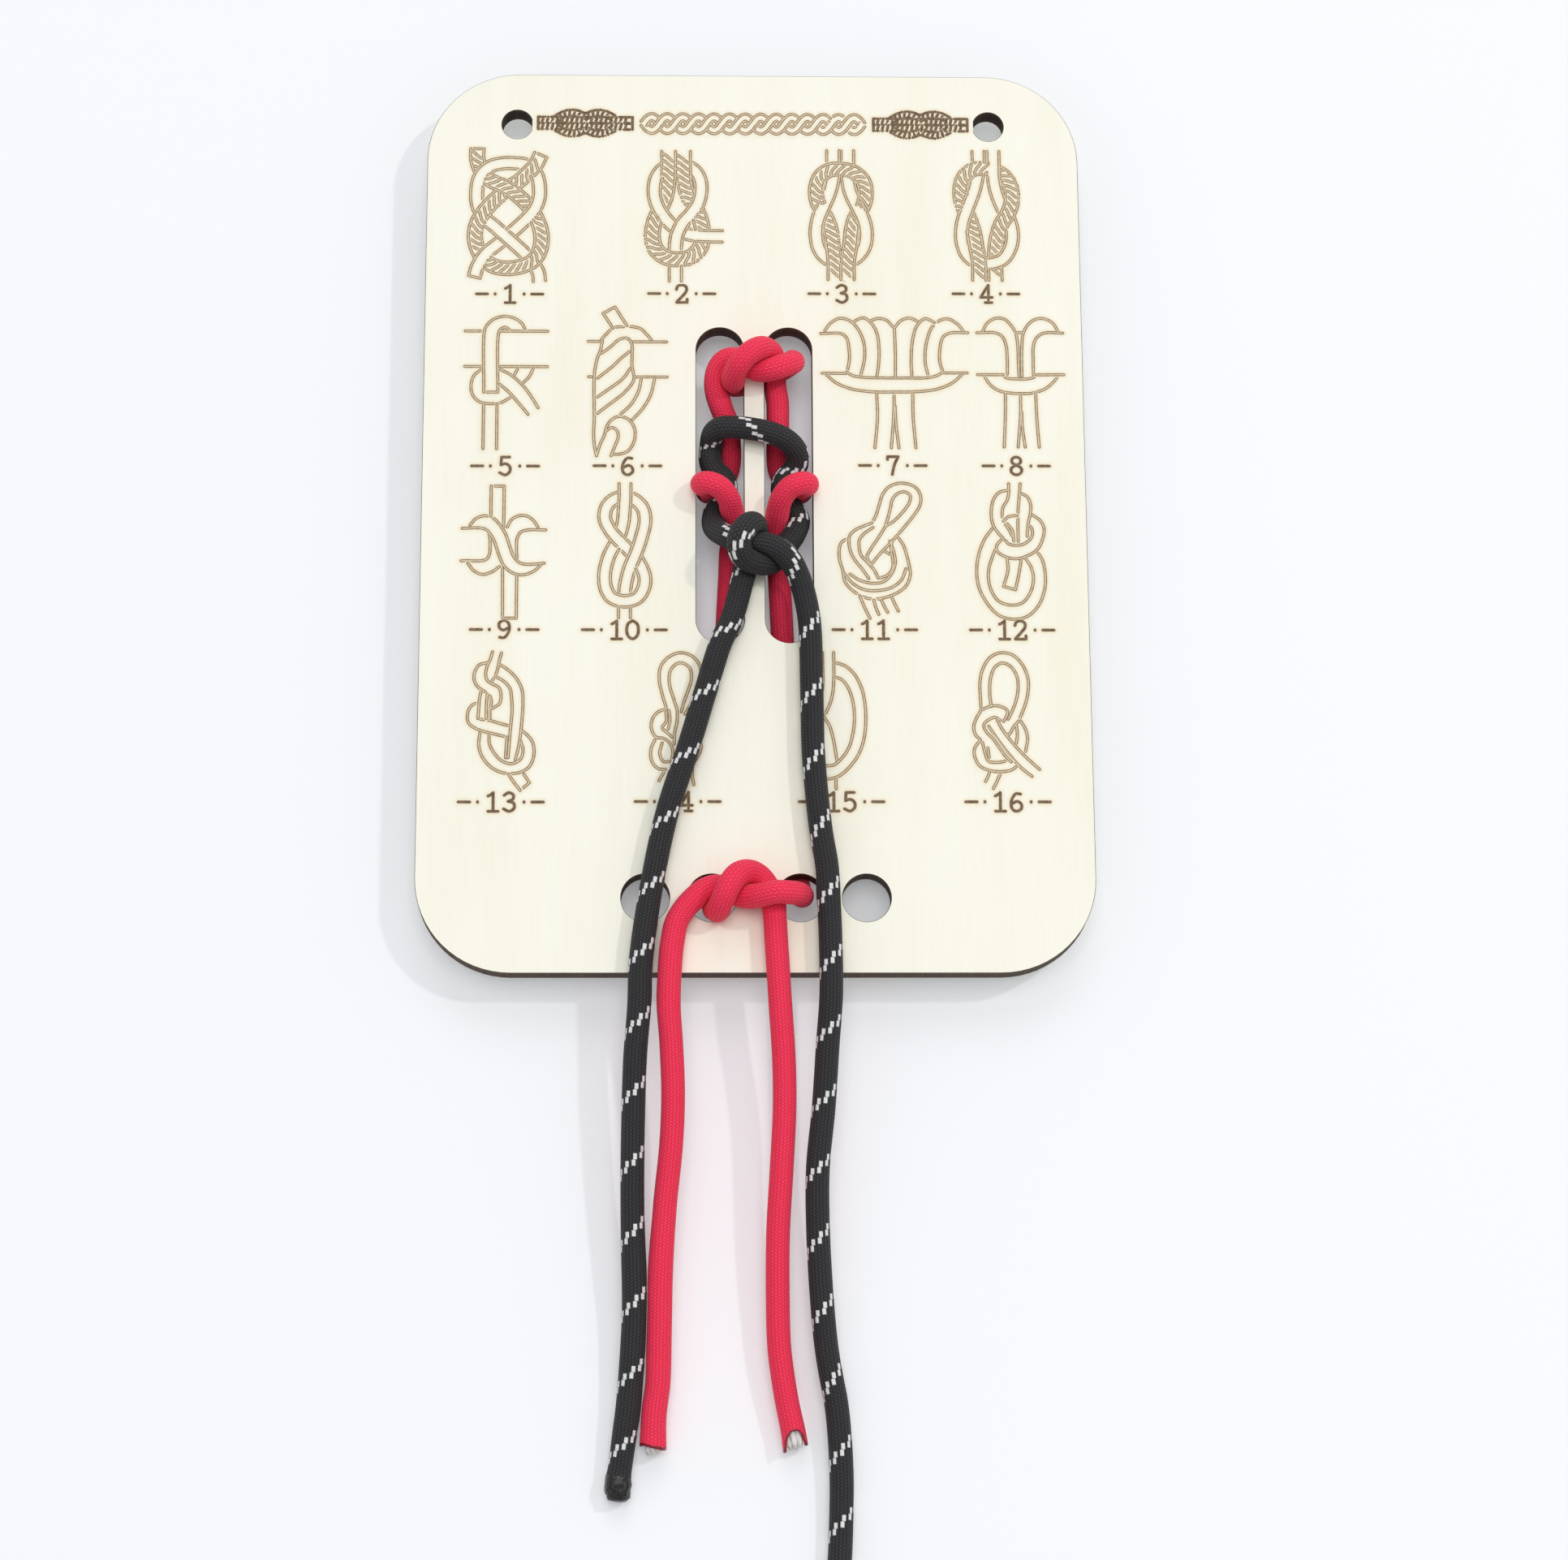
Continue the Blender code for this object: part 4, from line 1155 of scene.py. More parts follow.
        [(4.2, 2.7), (5.6, 4.4), (7.0, 6.2), (8.1, 8.0), (8.3, 9.6), (7.6, 11.1), (6.2, 11.9), (4.4, 12.0),
         (2.8, 11.3), (1.8, 10.0), (1.2, 8.2), (0.6, 6.2), (-0.1, 4.9)],
        [(2.2, 4.3), (3.7, 5.3), (5.2, 6.9), (6.3, 8.5), (6.5, 9.8), (5.6, 10.5), (4.4, 10.2), (3.5, 9.2), (3.1, 7.6),
         (2.7, 6.0), (2.2, 4.3)],
        [(2.2, 4.3), (1.2, 2.6), (0.0, 0.8), (-1.0, -0.9)], [(4.2, 2.7), (2.6, 0.9), (1.2, -0.6), (-0.3, -2.5)],
        [(-1.0, -0.9), (-0.8, -1.7), (-0.3, -2.5)],
        [(-0.1, 4.9), (-1.6, 4.3), (-3.0, 3.6), (-3.9, 2.6), (-4.0, 1.2), (-3.7, -0.4), (-2.9, -1.9), (-1.8, -3.3),
         (-0.7, -5.0)],
        [(0.1, 4.1), (-1.3, 3.1), (-2.2, 2.0), (-2.3, 0.6), (-2.0, -0.8), (-1.0, -2.0), (0.1, -3.3), (0.9, -4.9)],
        [(-4.3, 2.1), (-5.3, 1.4), (-5.7, 0.0), (-5.6, -1.8), (-5.1, -3.6), (-4.8, -5.4), (-4.0, -6.6), (-2.8, -7.6),
         (-1.2, -8.4), (0.6, -8.6), (2.4, -8.2), (4.2, -7.4), (5.6, -6.2), (6.3, -4.4), (6.1, -2.4), (5.7, -0.6),
         (5.2, 1.0), (4.3, 2.4)],
        [(-4.9, -4.0), (-3.6, -5.7), (-1.6, -6.9), (0.6, -7.1), (3.0, -6.6), (4.8, -5.2), (5.6, -3.2)],
        [(-3.9, -4.2), (-2.2, -5.3), (0.0, -5.8), (1.8, -5.5), (3.2, -4.0), (3.8, -2.2), (3.6, -0.4), (2.9, 1.7)],
        [(1.1, -4.9), (2.4, -4.4), (3.3, -3.2), (3.4, -1.6), (3.1, 0.2), (3.3, 1.6)], [(2.0, -0.1), (3.2, -0.8)],
        [(-2.3, -8.0), (-1.6, -9.8), (-0.6, -12.0)], [(0.1, -8.8), (0.4, -10.0), (0.9, -11.3)],
        [(1.3, -8.6), (1.8, -9.8), (2.4, -10.9)], [(3.1, -8.2), (3.6, -9.4), (4.2, -10.7)],
    ]),
    Figure(12, 44, -7, 43.4, -21.0, strokes=[
        [(-0.7, 12.0), (-0.7, 10.4), (-1.0, 9.0), (-1.7, 7.8), (-1.9, 6.6), (-1.6, 5.2), (-0.9, 4.0), (-0.2, 2.6)],
        [(1.3, 12.0), (1.1, 10.0), (0.9, 8.0), (0.8, 6.4), (0.75, 4.0), (0.75, 1.6)],
        [(-0.8, 10.8), (-2.2, 10.5), (-3.2, 9.4), (-3.7, 7.6), (-3.7, 5.6), (-3.3, 4.2), (-2.4, 2.9), (-1.4, 1.8),
         (-0.6, 1.2)],
        [(1.4, 10.3), (2.5, 9.6), (3.0, 8.2), (2.9, 6.6), (2.5, 4.8), (2.3, 2.6)],
        [(3.1, 6.5), (4.5, 5.5), (5.2, 4.0), (4.8, 1.8), (3.9, 0.2), (2.4, -0.8), (0.4, -1.4), (-1.6, -1.0),
         (-2.9, 0.0), (-2.9, 1.0), (-2.1, 2.0)],
        [(-1.5, 1.9), (-0.8, 1.2), (0.6, 1.0), (2.0, 1.4), (3.1, 2.6), (3.1, 4.0), (2.6, 4.6)],
        [(-1.7, 5.3), (-0.8, 6.1), (0.7, 6.3)], [(-1.2, 5.0), (-0.2, 3.6), (0.0, 1.6)],
        [(-3.6, 4.0), (-5.0, 2.0), (-6.0, -0.6), (-6.4, -3.4), (-6.1, -6.4), (-4.8, -9.2), (-2.8, -11.4),
         (-0.4, -12.1), (2.0, -11.6), (4.0, -9.6), (5.1, -6.6), (5.2, -3.8), (4.7, -1.4), (3.8, 0.0)],
        [(-2.4, 1.8), (-3.6, -0.8), (-4.4, -3.6), (-4.2, -6.4), (-2.9, -8.8), (-0.9, -9.6), (1.2, -9.2), (2.7, -7.2),
         (3.2, -4.8), (2.8, -2.8), (1.9, -1.3)],
        [(-1.2, -1.3), (-1.1, -3.4), (-1.9, -6.3)], [(1.2, -1.4), (0.8, -3.8), (0.1, -6.9)],
        [(-1.9, -6.3), (0.1, -6.9)],
    ]),
    Figure(13, -43, -37, -42.4, -51.0, strokes=[
        [(-1.1, 12.0), (-1.5, 10.6), (-2.0, 9.4), (-2.2, 8.0), (-1.9, 7.0), (-1.1, 6.4), (0.0, 5.8), (0.4, 4.6),
         (0.2, 3.0), (-0.6, 2.4), (-1.3, 2.0)],
        [(0.4, 11.8), (0.1, 10.6), (-0.2, 9.0), (-0.7, 7.6), (-1.2, 6.8)],
        [(-1.9, 10.1), (-3.3, 9.7), (-4.0, 8.6), (-4.1, 7.0), (-3.4, 5.8), (-2.4, 5.1), (-1.5, 4.3), (-1.2, 3.2),
         (-1.4, 1.8), (-1.4, 0.3)],
        [(0.1, 9.8), (1.6, 8.8), (3.0, 7.3), (3.9, 5.4), (4.1, 3.2), (4.0, 0.8), (3.8, -1.8), (3.6, -3.6)],
        [(-0.6, 7.7), (0.8, 6.9), (1.9, 5.6), (2.2, 3.8), (2.3, 1.5), (2.1, -0.8), (1.9, -3.6), (1.7, -6.4)],
        [(-2.9, 5.2), (-3.2, 3.6), (-3.3, 1.8), (-3.4, 0.4)], [(-1.9, 4.6), (-2.0, 2.6), (-2.0, 0.4)],
        [(-3.3, 3.2), (-4.5, 2.6), (-5.1, 1.4), (-5.0, -0.3), (-4.0, -1.2), (-2.6, -1.8), (-0.6, -2.3), (1.5, -2.8)],
        [(-3.4, 0.3), (-1.6, 0.1), (0.4, -0.5), (2.0, -0.9)],
        [(-3.0, -2.0), (-3.2, -4.2), (-2.6, -6.2), (-1.0, -8.1), (1.0, -9.0), (3.4, -9.0), (5.2, -8.0), (6.0, -6.0),
         (5.8, -3.8), (4.8, -2.4), (3.8, -1.6)],
        [(-1.5, -2.3), (-1.4, -4.0), (-0.6, -5.6), (0.8, -7.0), (2.4, -7.4), (3.8, -6.6), (4.2, -5.0), (3.8, -3.6)],
        [(1.5, -2.8), (1.4, -4.6), (1.3, -6.4)], [(3.6, -3.6), (3.3, -5.2), (2.9, -6.8)],
        [(1.8, -9.2), (2.8, -10.7), (3.8, -12.0)], [(3.8, -12.0), (5.3, -10.7)], [(5.3, -10.7), (4.4, -9.2)],
    ]),
    Figure(14, -13, -37, -13.0, -50.9, strokes=[
        [(-1.9, 2.2), (-2.6, 4.6), (-3.1, 7.0), (-2.9, 9.4), (-1.6, 11.1), (0.4, 11.9), (2.4, 11.3), (3.7, 9.6),
         (3.8, 7.4), (3.0, 5.0), (2.2, 3.0), (1.2, 1.2)],
        [(-0.1, 2.0), (-0.8, 4.2), (-1.4, 6.4), (-1.3, 8.6), (-0.3, 9.9), (0.8, 10.1), (2.0, 9.2), (2.3, 7.4),
         (1.7, 5.2), (1.0, 3.2), (0.6, 1.6)],
        [(-1.9, 2.1), (-3.4, 1.5), (-4.3, 0.2), (-4.4, -1.4), (-3.6, -2.8), (-2.4, -3.0), (-1.2, -4.0), (-0.8, -5.6),
         (-1.2, -7.2)],
        [(-2.0, 1.8), (-1.9, 0.0), (-2.6, -1.2), (-1.8, -2.0), (-0.9, -2.8)], [(-1.5, 1.8), (-1.3, 0.2), (-1.6, -1.4)],
        [(-3.8, -3.2), (-4.5, -5.0), (-4.3, -7.0), (-3.3, -8.2), (-2.0, -8.4)],
        [(-2.6, -3.8), (-3.0, -5.6), (-2.4, -7.0), (-1.4, -7.0)],
        [(-0.1, 2.0), (-0.1, 0.0), (-0.5, -2.0), (-0.6, -4.0)], [(-2.0, -8.4), (-2.6, -9.4), (-3.1, -10.3)],
        [(3.6, -3.0), (3.9, -4.6), (3.3, -6.2), (2.6, -7.4), (2.4, -9.0), (2.7, -11.0)],
    ]),
    Figure(15, 15, -37, 14.3, -50.9, strokes=[
        [(-1.8, 12.0), (-1.8, 7.6), (-2.0, 5.0), (-2.5, 3.0), (-3.2, 1.4)], [(-3.7, 12.0), (-3.7, 6.0), (-4.0, 4.0)],
        [(-1.8, 10.3), (0.2, 9.6), (1.8, 8.0), (2.9, 5.6), (3.4, 3.0), (3.5, 0.2), (3.2, -2.8), (2.3, -5.6),
         (0.8, -7.8), (-0.8, -9.3), (-2.2, -9.9), (-4.0, -10.0)],
        [(-1.6, 7.7), (-0.4, 7.2), (0.7, 5.6), (1.4, 3.2), (1.6, 0.6), (1.3, -2.2), (0.6, -4.6), (-0.6, -6.4),
         (-2.0, -7.6), (-4.0, -7.7)],
        [(-4.0, 1.8), (-3.3, 0.4), (-2.6, -0.8), (-2.0, -3.0), (-1.6, -5.4), (-1.4, -6.8)],
        [(-1.6, -10.0), (-1.6, -11.7)],
    ]),
    Figure(16, 43, -37, 42.1, -50.9, strokes=[
        [(-5.1, 2.1), (-5.2, 4.4), (-5.2, 7.0), (-4.6, 9.4), (-3.4, 11.2), (-1.6, 12.0), (0.4, 11.6), (2.0, 9.9),
         (2.9, 7.4), (2.8, 4.8), (2.2, 2.6), (1.4, 0.6)],
        [(-3.4, 2.6), (-3.6, 5.0), (-3.4, 7.6), (-2.7, 9.4), (-1.4, 10.2), (0.0, 9.6), (1.0, 8.0), (1.2, 6.0),
         (0.9, 4.0), (0.2, 2.0), (-0.6, 0.4)],
        [(-5.0, 2.0), (-3.4, 2.7), (-1.8, 2.6), (-0.7, 1.9), (-0.8, 1.0), (-1.4, 0.0)],
        [(-5.1, 2.0), (-6.0, 0.4), (-6.4, -0.8), (-6.2, -2.2), (-5.3, -3.2)],
        [(-5.3, -3.3), (-6.2, -4.4), (-6.4, -5.8), (-5.6, -7.6), (-4.2, -8.4), (-2.2, -8.7), (-0.2, -8.4),
         (0.6, -7.8)],
        [(-1.9, 0.2), (-2.8, 0.7), (-4.0, 0.2), (-4.7, -0.6), (-4.3, -1.8), (-3.2, -3.0), (-2.0, -4.8), (-1.2, -6.0),
         (-0.2, -7.0)],
        [(-2.4, 0.2), (-1.6, -1.4), (0.0, -3.6), (2.0, -5.9), (4.5, -8.3)],
        [(-3.9, -0.8), (-2.6, -2.9), (-0.8, -5.4), (1.2, -7.8), (3.2, -9.5)],
        [(-5.0, -3.6), (-4.6, -5.4), (-4.0, -6.9), (-2.8, -7.1), (-1.4, -6.9), (-0.6, -6.4)],
        [(-4.1, -4.6), (-3.9, -6.2)], [(1.5, 0.1), (2.3, -1.4), (2.6, -3.0), (2.2, -5.2)],
        [(0.7, -0.4), (0.9, -2.2), (0.7, -3.8)], [(-1.4, -1.8), (-0.6, -2.3), (0.4, -0.8), (1.2, 0.1)],
        [(-3.9, -8.8), (-4.2, -9.6), (-4.6, -10.4)], [(-2.0, -8.8), (-2.6, -10.2), (-3.3, -11.6)],
    ]),
]

ORNAMENT_HUMP: list[Point2] = [(0.4, 1.4), (1.2, 1.75), (2.3, 1.95), (3.3, 1.8), (4.2, 1.4), (5.0, 0.9)]


@dataclass
class Engraving:
    """Figures, numbers and ornaments burnt into the front face, with sizes in millimetres."""

    reach: float = 1.0
    rise: float = 0.03
    lift: float = 0.006
    lift_step: float = 0.0017
    lift_levels: int = 7
    step: float = 0.25
    end_steps: int = 5
    digit_height: float = 3.2
    digit_width: float = 0.62
    digit_advance: float = 2.75
    dot_gap: float = 1.5
    dot_half: float = 0.05
    dash: Point2 = (1.3, 3.2)
    top_row: float = 70.9
    twist_half: float = 19.0
    twist_waves: int = 7
    twist_steps: int = 8
    twist_width: float = 1.25
    ornament_side: float = 29.2
    strokes: list[tuple[np.ndarray, float]] = field(default_factory=list)

    def add(self, line: Any, ink: float, straight: bool = False) -> None:
        """Keep a stroke to be drawn.

        Args:
            line: Rows of x and y in millimetres.
            ink: How dark it is burnt, 0 for a figure and 1 for a number.
            straight: True where it runs straight from point to point.
        """
        places = np.array(line, float)
        if not straight and len(places) > 2:
            places = flowing(places)[:, :2]
        run = run_along(places)
        marks = np.linspace(0.0, run[-1], max(2, math.ceil(run[-1] / self.step) + 1))
        self.strokes.append((read_at(marks, run, places), ink))

    def number(self, value: int, x: float, y: float) -> None:
        """Draw a number with a short dash and a dot at each side.

        Args:
            value: The number.
            x: Its middle.
            y: Its middle.
        """
        text = str(value)
        width = self.digit_advance * (len(text) - 1) + self.digit_width * self.digit_height
        for rank, digit in enumerate(text):
            left = x - width / 2.0 + rank * self.digit_advance
            for stroke in DIGITS[digit]:
                self.add([(left + u * self.digit_height, y - self.digit_height / 2.0 + v * self.digit_height)
                          for u, v in stroke], 1.0)
        for side in (-1.0, 1.0):
            edge = x + side * (width / 2.0 + self.dot_gap)
            self.add([(edge, y - self.dot_half), (edge, y + self.dot_half)], 1.0)
            self.add([(edge + side * reach, y) for reach in self.dash], 1.0)

    def twist(self) -> None:
        """Draw a plain two-strand twist in the middle of the top row."""
        steps = self.twist_waves * self.twist_steps
        ropes = []
        for side in (-1.0, 1.0):
            points = []
            for k in range(steps + 1):
                phase = 2.0 * math.pi * self.twist_waves * k / steps
                crossing = 0.5 if abs(math.sin(phase)) < 0.75 else 0.0
                rank = PLAIN_RANK + side * math.copysign(crossing, math.cos(phase))
                points.append((-self.twist_half + 2.0 * self.twist_half * k / steps,
                               self.top_row + side * self.twist_width * math.sin(phase), rank))
            ropes.append(Rope(points, width=self.twist_width))
        for stroke in RopeArt(ropes).strokes():
            self.add(stroke, 0.0)

    def ornament(self, x: float) -> None:
        """Draw a small dark rope knot in the top row: a doubled rope with two humps of rope round it.

        Args:
            x: Its middle.
        """
        fine = {"width": 1.1, "laid": True, "lay_step": 0.85, "lay_slant": 0.1}
        humps = [(-u, v) for u, v in reversed(ORNAMENT_HUMP)] + ORNAMENT_HUMP
        ropes = []
        for side in (-1.0, 1.0):
            middle = [(x + u, self.top_row + side * 0.6) for u in (-8.2, -3.0, 3.0, 8.2)]
            ropes.append(Rope(middle, caps=(True, True), **fine))
            ropes.append(Rope([(x + u, self.top_row + side * v) for u, v in humps], **fine))
        for stroke in RopeArt(ropes).strokes():
            self.add(stroke, 1.0)

    def build(self, veneer: bpy.types.Material) -> None:
        """Draw everything, as thin burnt strips on the face.

        Args:
            veneer: Finish of the face, which is burnt where the strips are marked.
        """
        for figure in FIGURES:
            middle = np.array([figure.x, figure.y])
            for stroke in RopeArt(figure.ropes).strokes():
                self.add(stroke + middle, 0.0, True)
            for stroke in figure.strokes:
                self.add(np.array(stroke, float) + middle, 0.0)
            self.flush(f"engraved_figure_{figure.number}", veneer)
            self.number(figure.number, figure.number_x, figure.number_y)
            self.flush(f"engraved_number_{figure.number}", veneer)
        self.twist()
        self.flush("engraved_twist", veneer)
        for side, name in ((-1.0, "left"), (1.0, "right")):
            self.ornament(side * self.ornament_side)
            self.flush("engraved_knot_" + name, veneer)

    def flush(self, name: str, veneer: bpy.types.Material) -> None:
        """Build the kept strokes as one piece.

        Args:
            name: Name of the piece.
            veneer: Finish of the face.
        """
        shape = bmesh.new()
        near = shape.verts.layers.float.new("near")
        inked = shape.verts.layers.float.new("inked")

        def corner(place: np.ndarray, closeness: float) -> Any:
            """Add a corner of the stroke in hand.

            Args:
                place: Its x and y in millimetres.
                closeness: Its closeness to the stroke's middle line, from 0 to 1, which also raises it.

            Returns:
                The corner.
            """
            made = shape.verts.new((*(place * MM), FACE_HEIGHT + (base + self.rise * closeness) * MM))
            made[near] = closeness
            made[inked] = ink
            return made

        for rank, (places, ink) in enumerate(self.strokes):
            base = self.lift + self.lift_step * (rank % self.lift_levels)
            ways = ways_along(places)
            sides = quarter_turned(ways) * self.reach
            made = [(corner(place - side, 0.0), corner(place, 1.0), corner(place + side, 0.0))
                    for place, side in zip(places, sides)]
            for first, second in zip(made, made[1:]):
                for k in (0, 1):
                    shape.faces.new((first[k + 1], first[k], second[k], second[k + 1]))
            for end, way in ((0, -1.0), (-1, 1.0)):
                rim = [made[end][0 if way > 0 else 2]]
                for step in range(1, self.end_steps):
                    turn = math.pi * step / self.end_steps
                    out = ways[end] * self.reach * math.sin(turn) - sides[end] * math.cos(turn)
                    rim.append(corner(places[end] + way * out, 0.0))
                rim.append(made[end][2 if way > 0 else 0])
                for one, other in zip(rim, rim[1:]):
                    shape.faces.new((made[end][1], one, other))
        new_piece(name, take_mesh(shape, name), "face_veneer", veneer)
        self.strokes.clear()


# Cords

RED_TAIL_LEFT = [
    (-16.8, -157.1, -5.49), (-16.6, -151.4, -5.1), (-16.0, -146.5, -4.69), (-15.8, -138.1, -3.9),
    (-15.6, -128.3, -2.86), (-15.0, -118.2, -1.75), (-14.0, -108.3, -0.61), (-13.7, -100.2, 0.33),
    (-14.0, -92.2, 1.21), (-14.4, -86.1, 1.87), (-14.3, -81.3, 2.25), (-13.8, -75.2, 2.35),
]

RED_MIDDLE = [
    (-12.8, -71.1, 2.35), (-8.7, -66.5, 2.2, 0.9), (-6.4, -65.8, 1.95, 0.84), (-4.2, -66.5, 2.1, 0.85),
    (-2.3, -67.6, 2.8, 0.9), (-0.7, -68.1, 4.4, 0.97), (0.9, -68.1, 5.9), (3.1, -67.8, 6.7), (5.4, -67.6, 5.5),
    (7.0, -67.2, 2.8, 0.95), (7.6, -66.9, -0.2, 0.9), (7.6, -66.2, -3.0, 0.88), (7.4, -65.0, -5.2, 0.85),
    (7.1, -63.2, -6.3, 0.86), (6.7, -60.0, -6.45, 0.95),
    (6.3, -54.0, -6.5), (5.8, -42.0, -6.5), (5.2, -30.0, -6.5), (5.0, -25.0, -6.5), (4.8, -21.5, -6.2),
    (4.6, -17.5, -5.4), (4.4, -13.5, -4.8), (4.2, -9.8, -4.7), (3.95, -6.2, -4.7, 0.95),
    (3.66, -3.7, -3.8, 0.79), (3.68, -1.8, -1.6, 0.79), (3.93, -0.2, 0.9, 0.91), (4.6, 1.4, 2.9),
    (5.9, 2.8, 4.1), (7.2, 3.4, 4.4), (8.35, 3.75, 3.85),
    (8.95, 3.95, 2.6, 0.97), (8.72, 4.1, 1.6, 0.82), (8.22, 4.2, 0.6, 0.75), (8.1, 4.35, -0.9, 0.73),
    (8.1, 4.55, -2.8, 0.73), (7.8, 5.0, -4.7, 0.76), (6.8, 6.0, -6.1, 0.82), (5.4, 7.4, -6.55, 0.9),
    (4.4, 9.4, -6.2), (4.1, 11.4, -5.0), (4.1, 14.0, -3.2), (4.1, 17.0, -2.3), (4.05, 20.4, -2.1, 0.97),
    (3.65, 22.8, -2.0, 0.8),
    (3.5, 24.6, -1.7, 0.7), (3.58, 25.9, -0.8, 0.7), (3.36, 27.25, 0.85, 0.73), (2.1, 27.95, 3.5, 0.88),
    (0.6, 27.25, 5.75, 0.96), (-1.1, 25.9, 6.6), (-2.5, 24.4, 6.2, 0.97), (-3.45, 23.3, 4.1, 0.88),
    (-3.6, 23.0, 1.6, 0.72), (-3.42, 23.6, -1.4, 0.68), (-3.48, 24.2, -4.2, 0.69),
    (-2.3, 24.9, -6.1, 0.74), (-0.2, 25.5, -6.3, 0.76), (2.4, 26.4, -6.2, 0.76),
    (4.5, 27.1, -5.0, 0.74), (6.15, 27.45, -2.8, 0.7), (6.68, 27.0, -0.2, 0.69),
    (6.45, 25.85, 2.35, 0.79), (4.9, 24.7, 3.9, 0.95), (2.9, 24.0, 4.0, 0.97), (0.8, 24.3, 2.85, 0.87),
    (-1.05, 25.5, 2.2, 0.8), (-2.95, 26.7, 1.8, 0.78), (-4.8, 26.8, 1.0, 0.78), (-6.0, 25.7, 0.2, 0.74),
    (-6.55, 23.8, -0.5, 0.7), (-6.4, 21.6, -1.2, 0.77), (-5.6, 19.2, -1.9, 0.92), (-4.6, 16.8, -2.8),
    (-4.2, 14.0, -4.0), (-4.1, 11.4, -5.4), (-4.4, 9.4, -6.35),
    (-5.4, 7.4, -6.6, 0.9), (-6.8, 6.0, -6.2, 0.82), (-7.8, 5.0, -4.7, 0.76), (-8.1, 4.55, -2.8, 0.73),
    (-8.1, 4.35, -0.9, 0.73), (-8.22, 4.2, 0.6, 0.75), (-8.72, 4.1, 1.6, 0.8), (-8.95, 3.95, 2.6, 0.86),
    (-8.35, 3.75, 3.85, 0.97), (-7.2, 3.4, 4.4), (-5.9, 2.8, 4.1), (-4.6, 1.6, 2.9),
    (-3.9, 0.1, 0.9, 0.88), (-3.62, -1.5, -1.5, 0.76), (-3.66, -3.5, -3.7, 0.78), (-4.05, -6.0, -4.7),
    (-4.2, -9.8, -4.8), (-4.4, -13.5, -4.9), (-4.6, -17.5, -5.4),
    (-4.8, -21.5, -6.2), (-5.0, -25.0, -6.5), (-5.2, -30.0, -6.5), (-5.8, -42.0, -6.5),
    (-6.3, -54.0, -6.5), (-6.6, -60.0, -6.45, 0.95), (-6.8, -63.8, -6.25, 0.9),
    (-6.9, -66.4, -5.0, 0.87), (-6.95, -68.5, -2.6, 0.85), (-6.9, -69.15, 0.0, 0.83),
    (-6.4, -69.95, 2.3, 0.88), (-6.0, -69.6, 4.6, 0.97), (-5.3, -68.1, 6.3), (-4.3, -66.1, 6.6),
    (-3.0, -64.4, 5.5, 0.97), (-1.3, -63.7, 4.1, 0.93), (0.4, -64.2, 2.9, 0.9), (1.85, -65.9, 2.2, 0.86),
    (2.75, -68.4, 2.1, 0.87), (3.05, -71.6, 2.35),
]

RED_TAIL_RIGHT = [
    (3.2, -74.4, 2.35), (3.5, -79.3, 2.3), (3.9, -86.1, 1.87), (4.4, -94.2, 0.99), (4.5, -102.3, 0.08),
    (4.0, -112.3, -1.06), (3.4, -122.3, -2.21), (3.3, -132.2, -3.28), (3.5, -140.5, -4.14),
    (4.0, -144.9, -4.54), (4.8, -149.8, -4.98), (5.7, -154.1, -5.28), (6.1, -156.8, -5.47),
]

BLACK_TAIL_LEFT = [
    (-22.6, -164.9, -5.87, 0.72), (-22.5, -163.7, -5.84, 1.1), (-22.5, -162.3, -5.77, 1.12),
    (-22.3, -160.9, -5.7, 0.97), (-22.1, -159.6, -5.63), (-21.5, -154.6, -5.32), (-20.9, -149.7, -4.98),
    (-20.2, -139.9, -4.09), (-20.0, -134.2, -3.49), (-20.2, -124.2, -2.42), (-20.3, -114.2, -1.28),
    (-20.2, -104.2, -0.14), (-19.9, -94.1, 1.0), (-19.3, -86.1, 1.87), (-19.0, -77.9, 2.35),
    (-17.0, -64.2, 2.35), (-14.7, -53.2, 2.35), (-11.2, -42.1, 2.35), (-8.3, -32.2, 2.35),
    (-5.8, -24.0, 2.35), (-4.0, -20.0, 2.35),
]

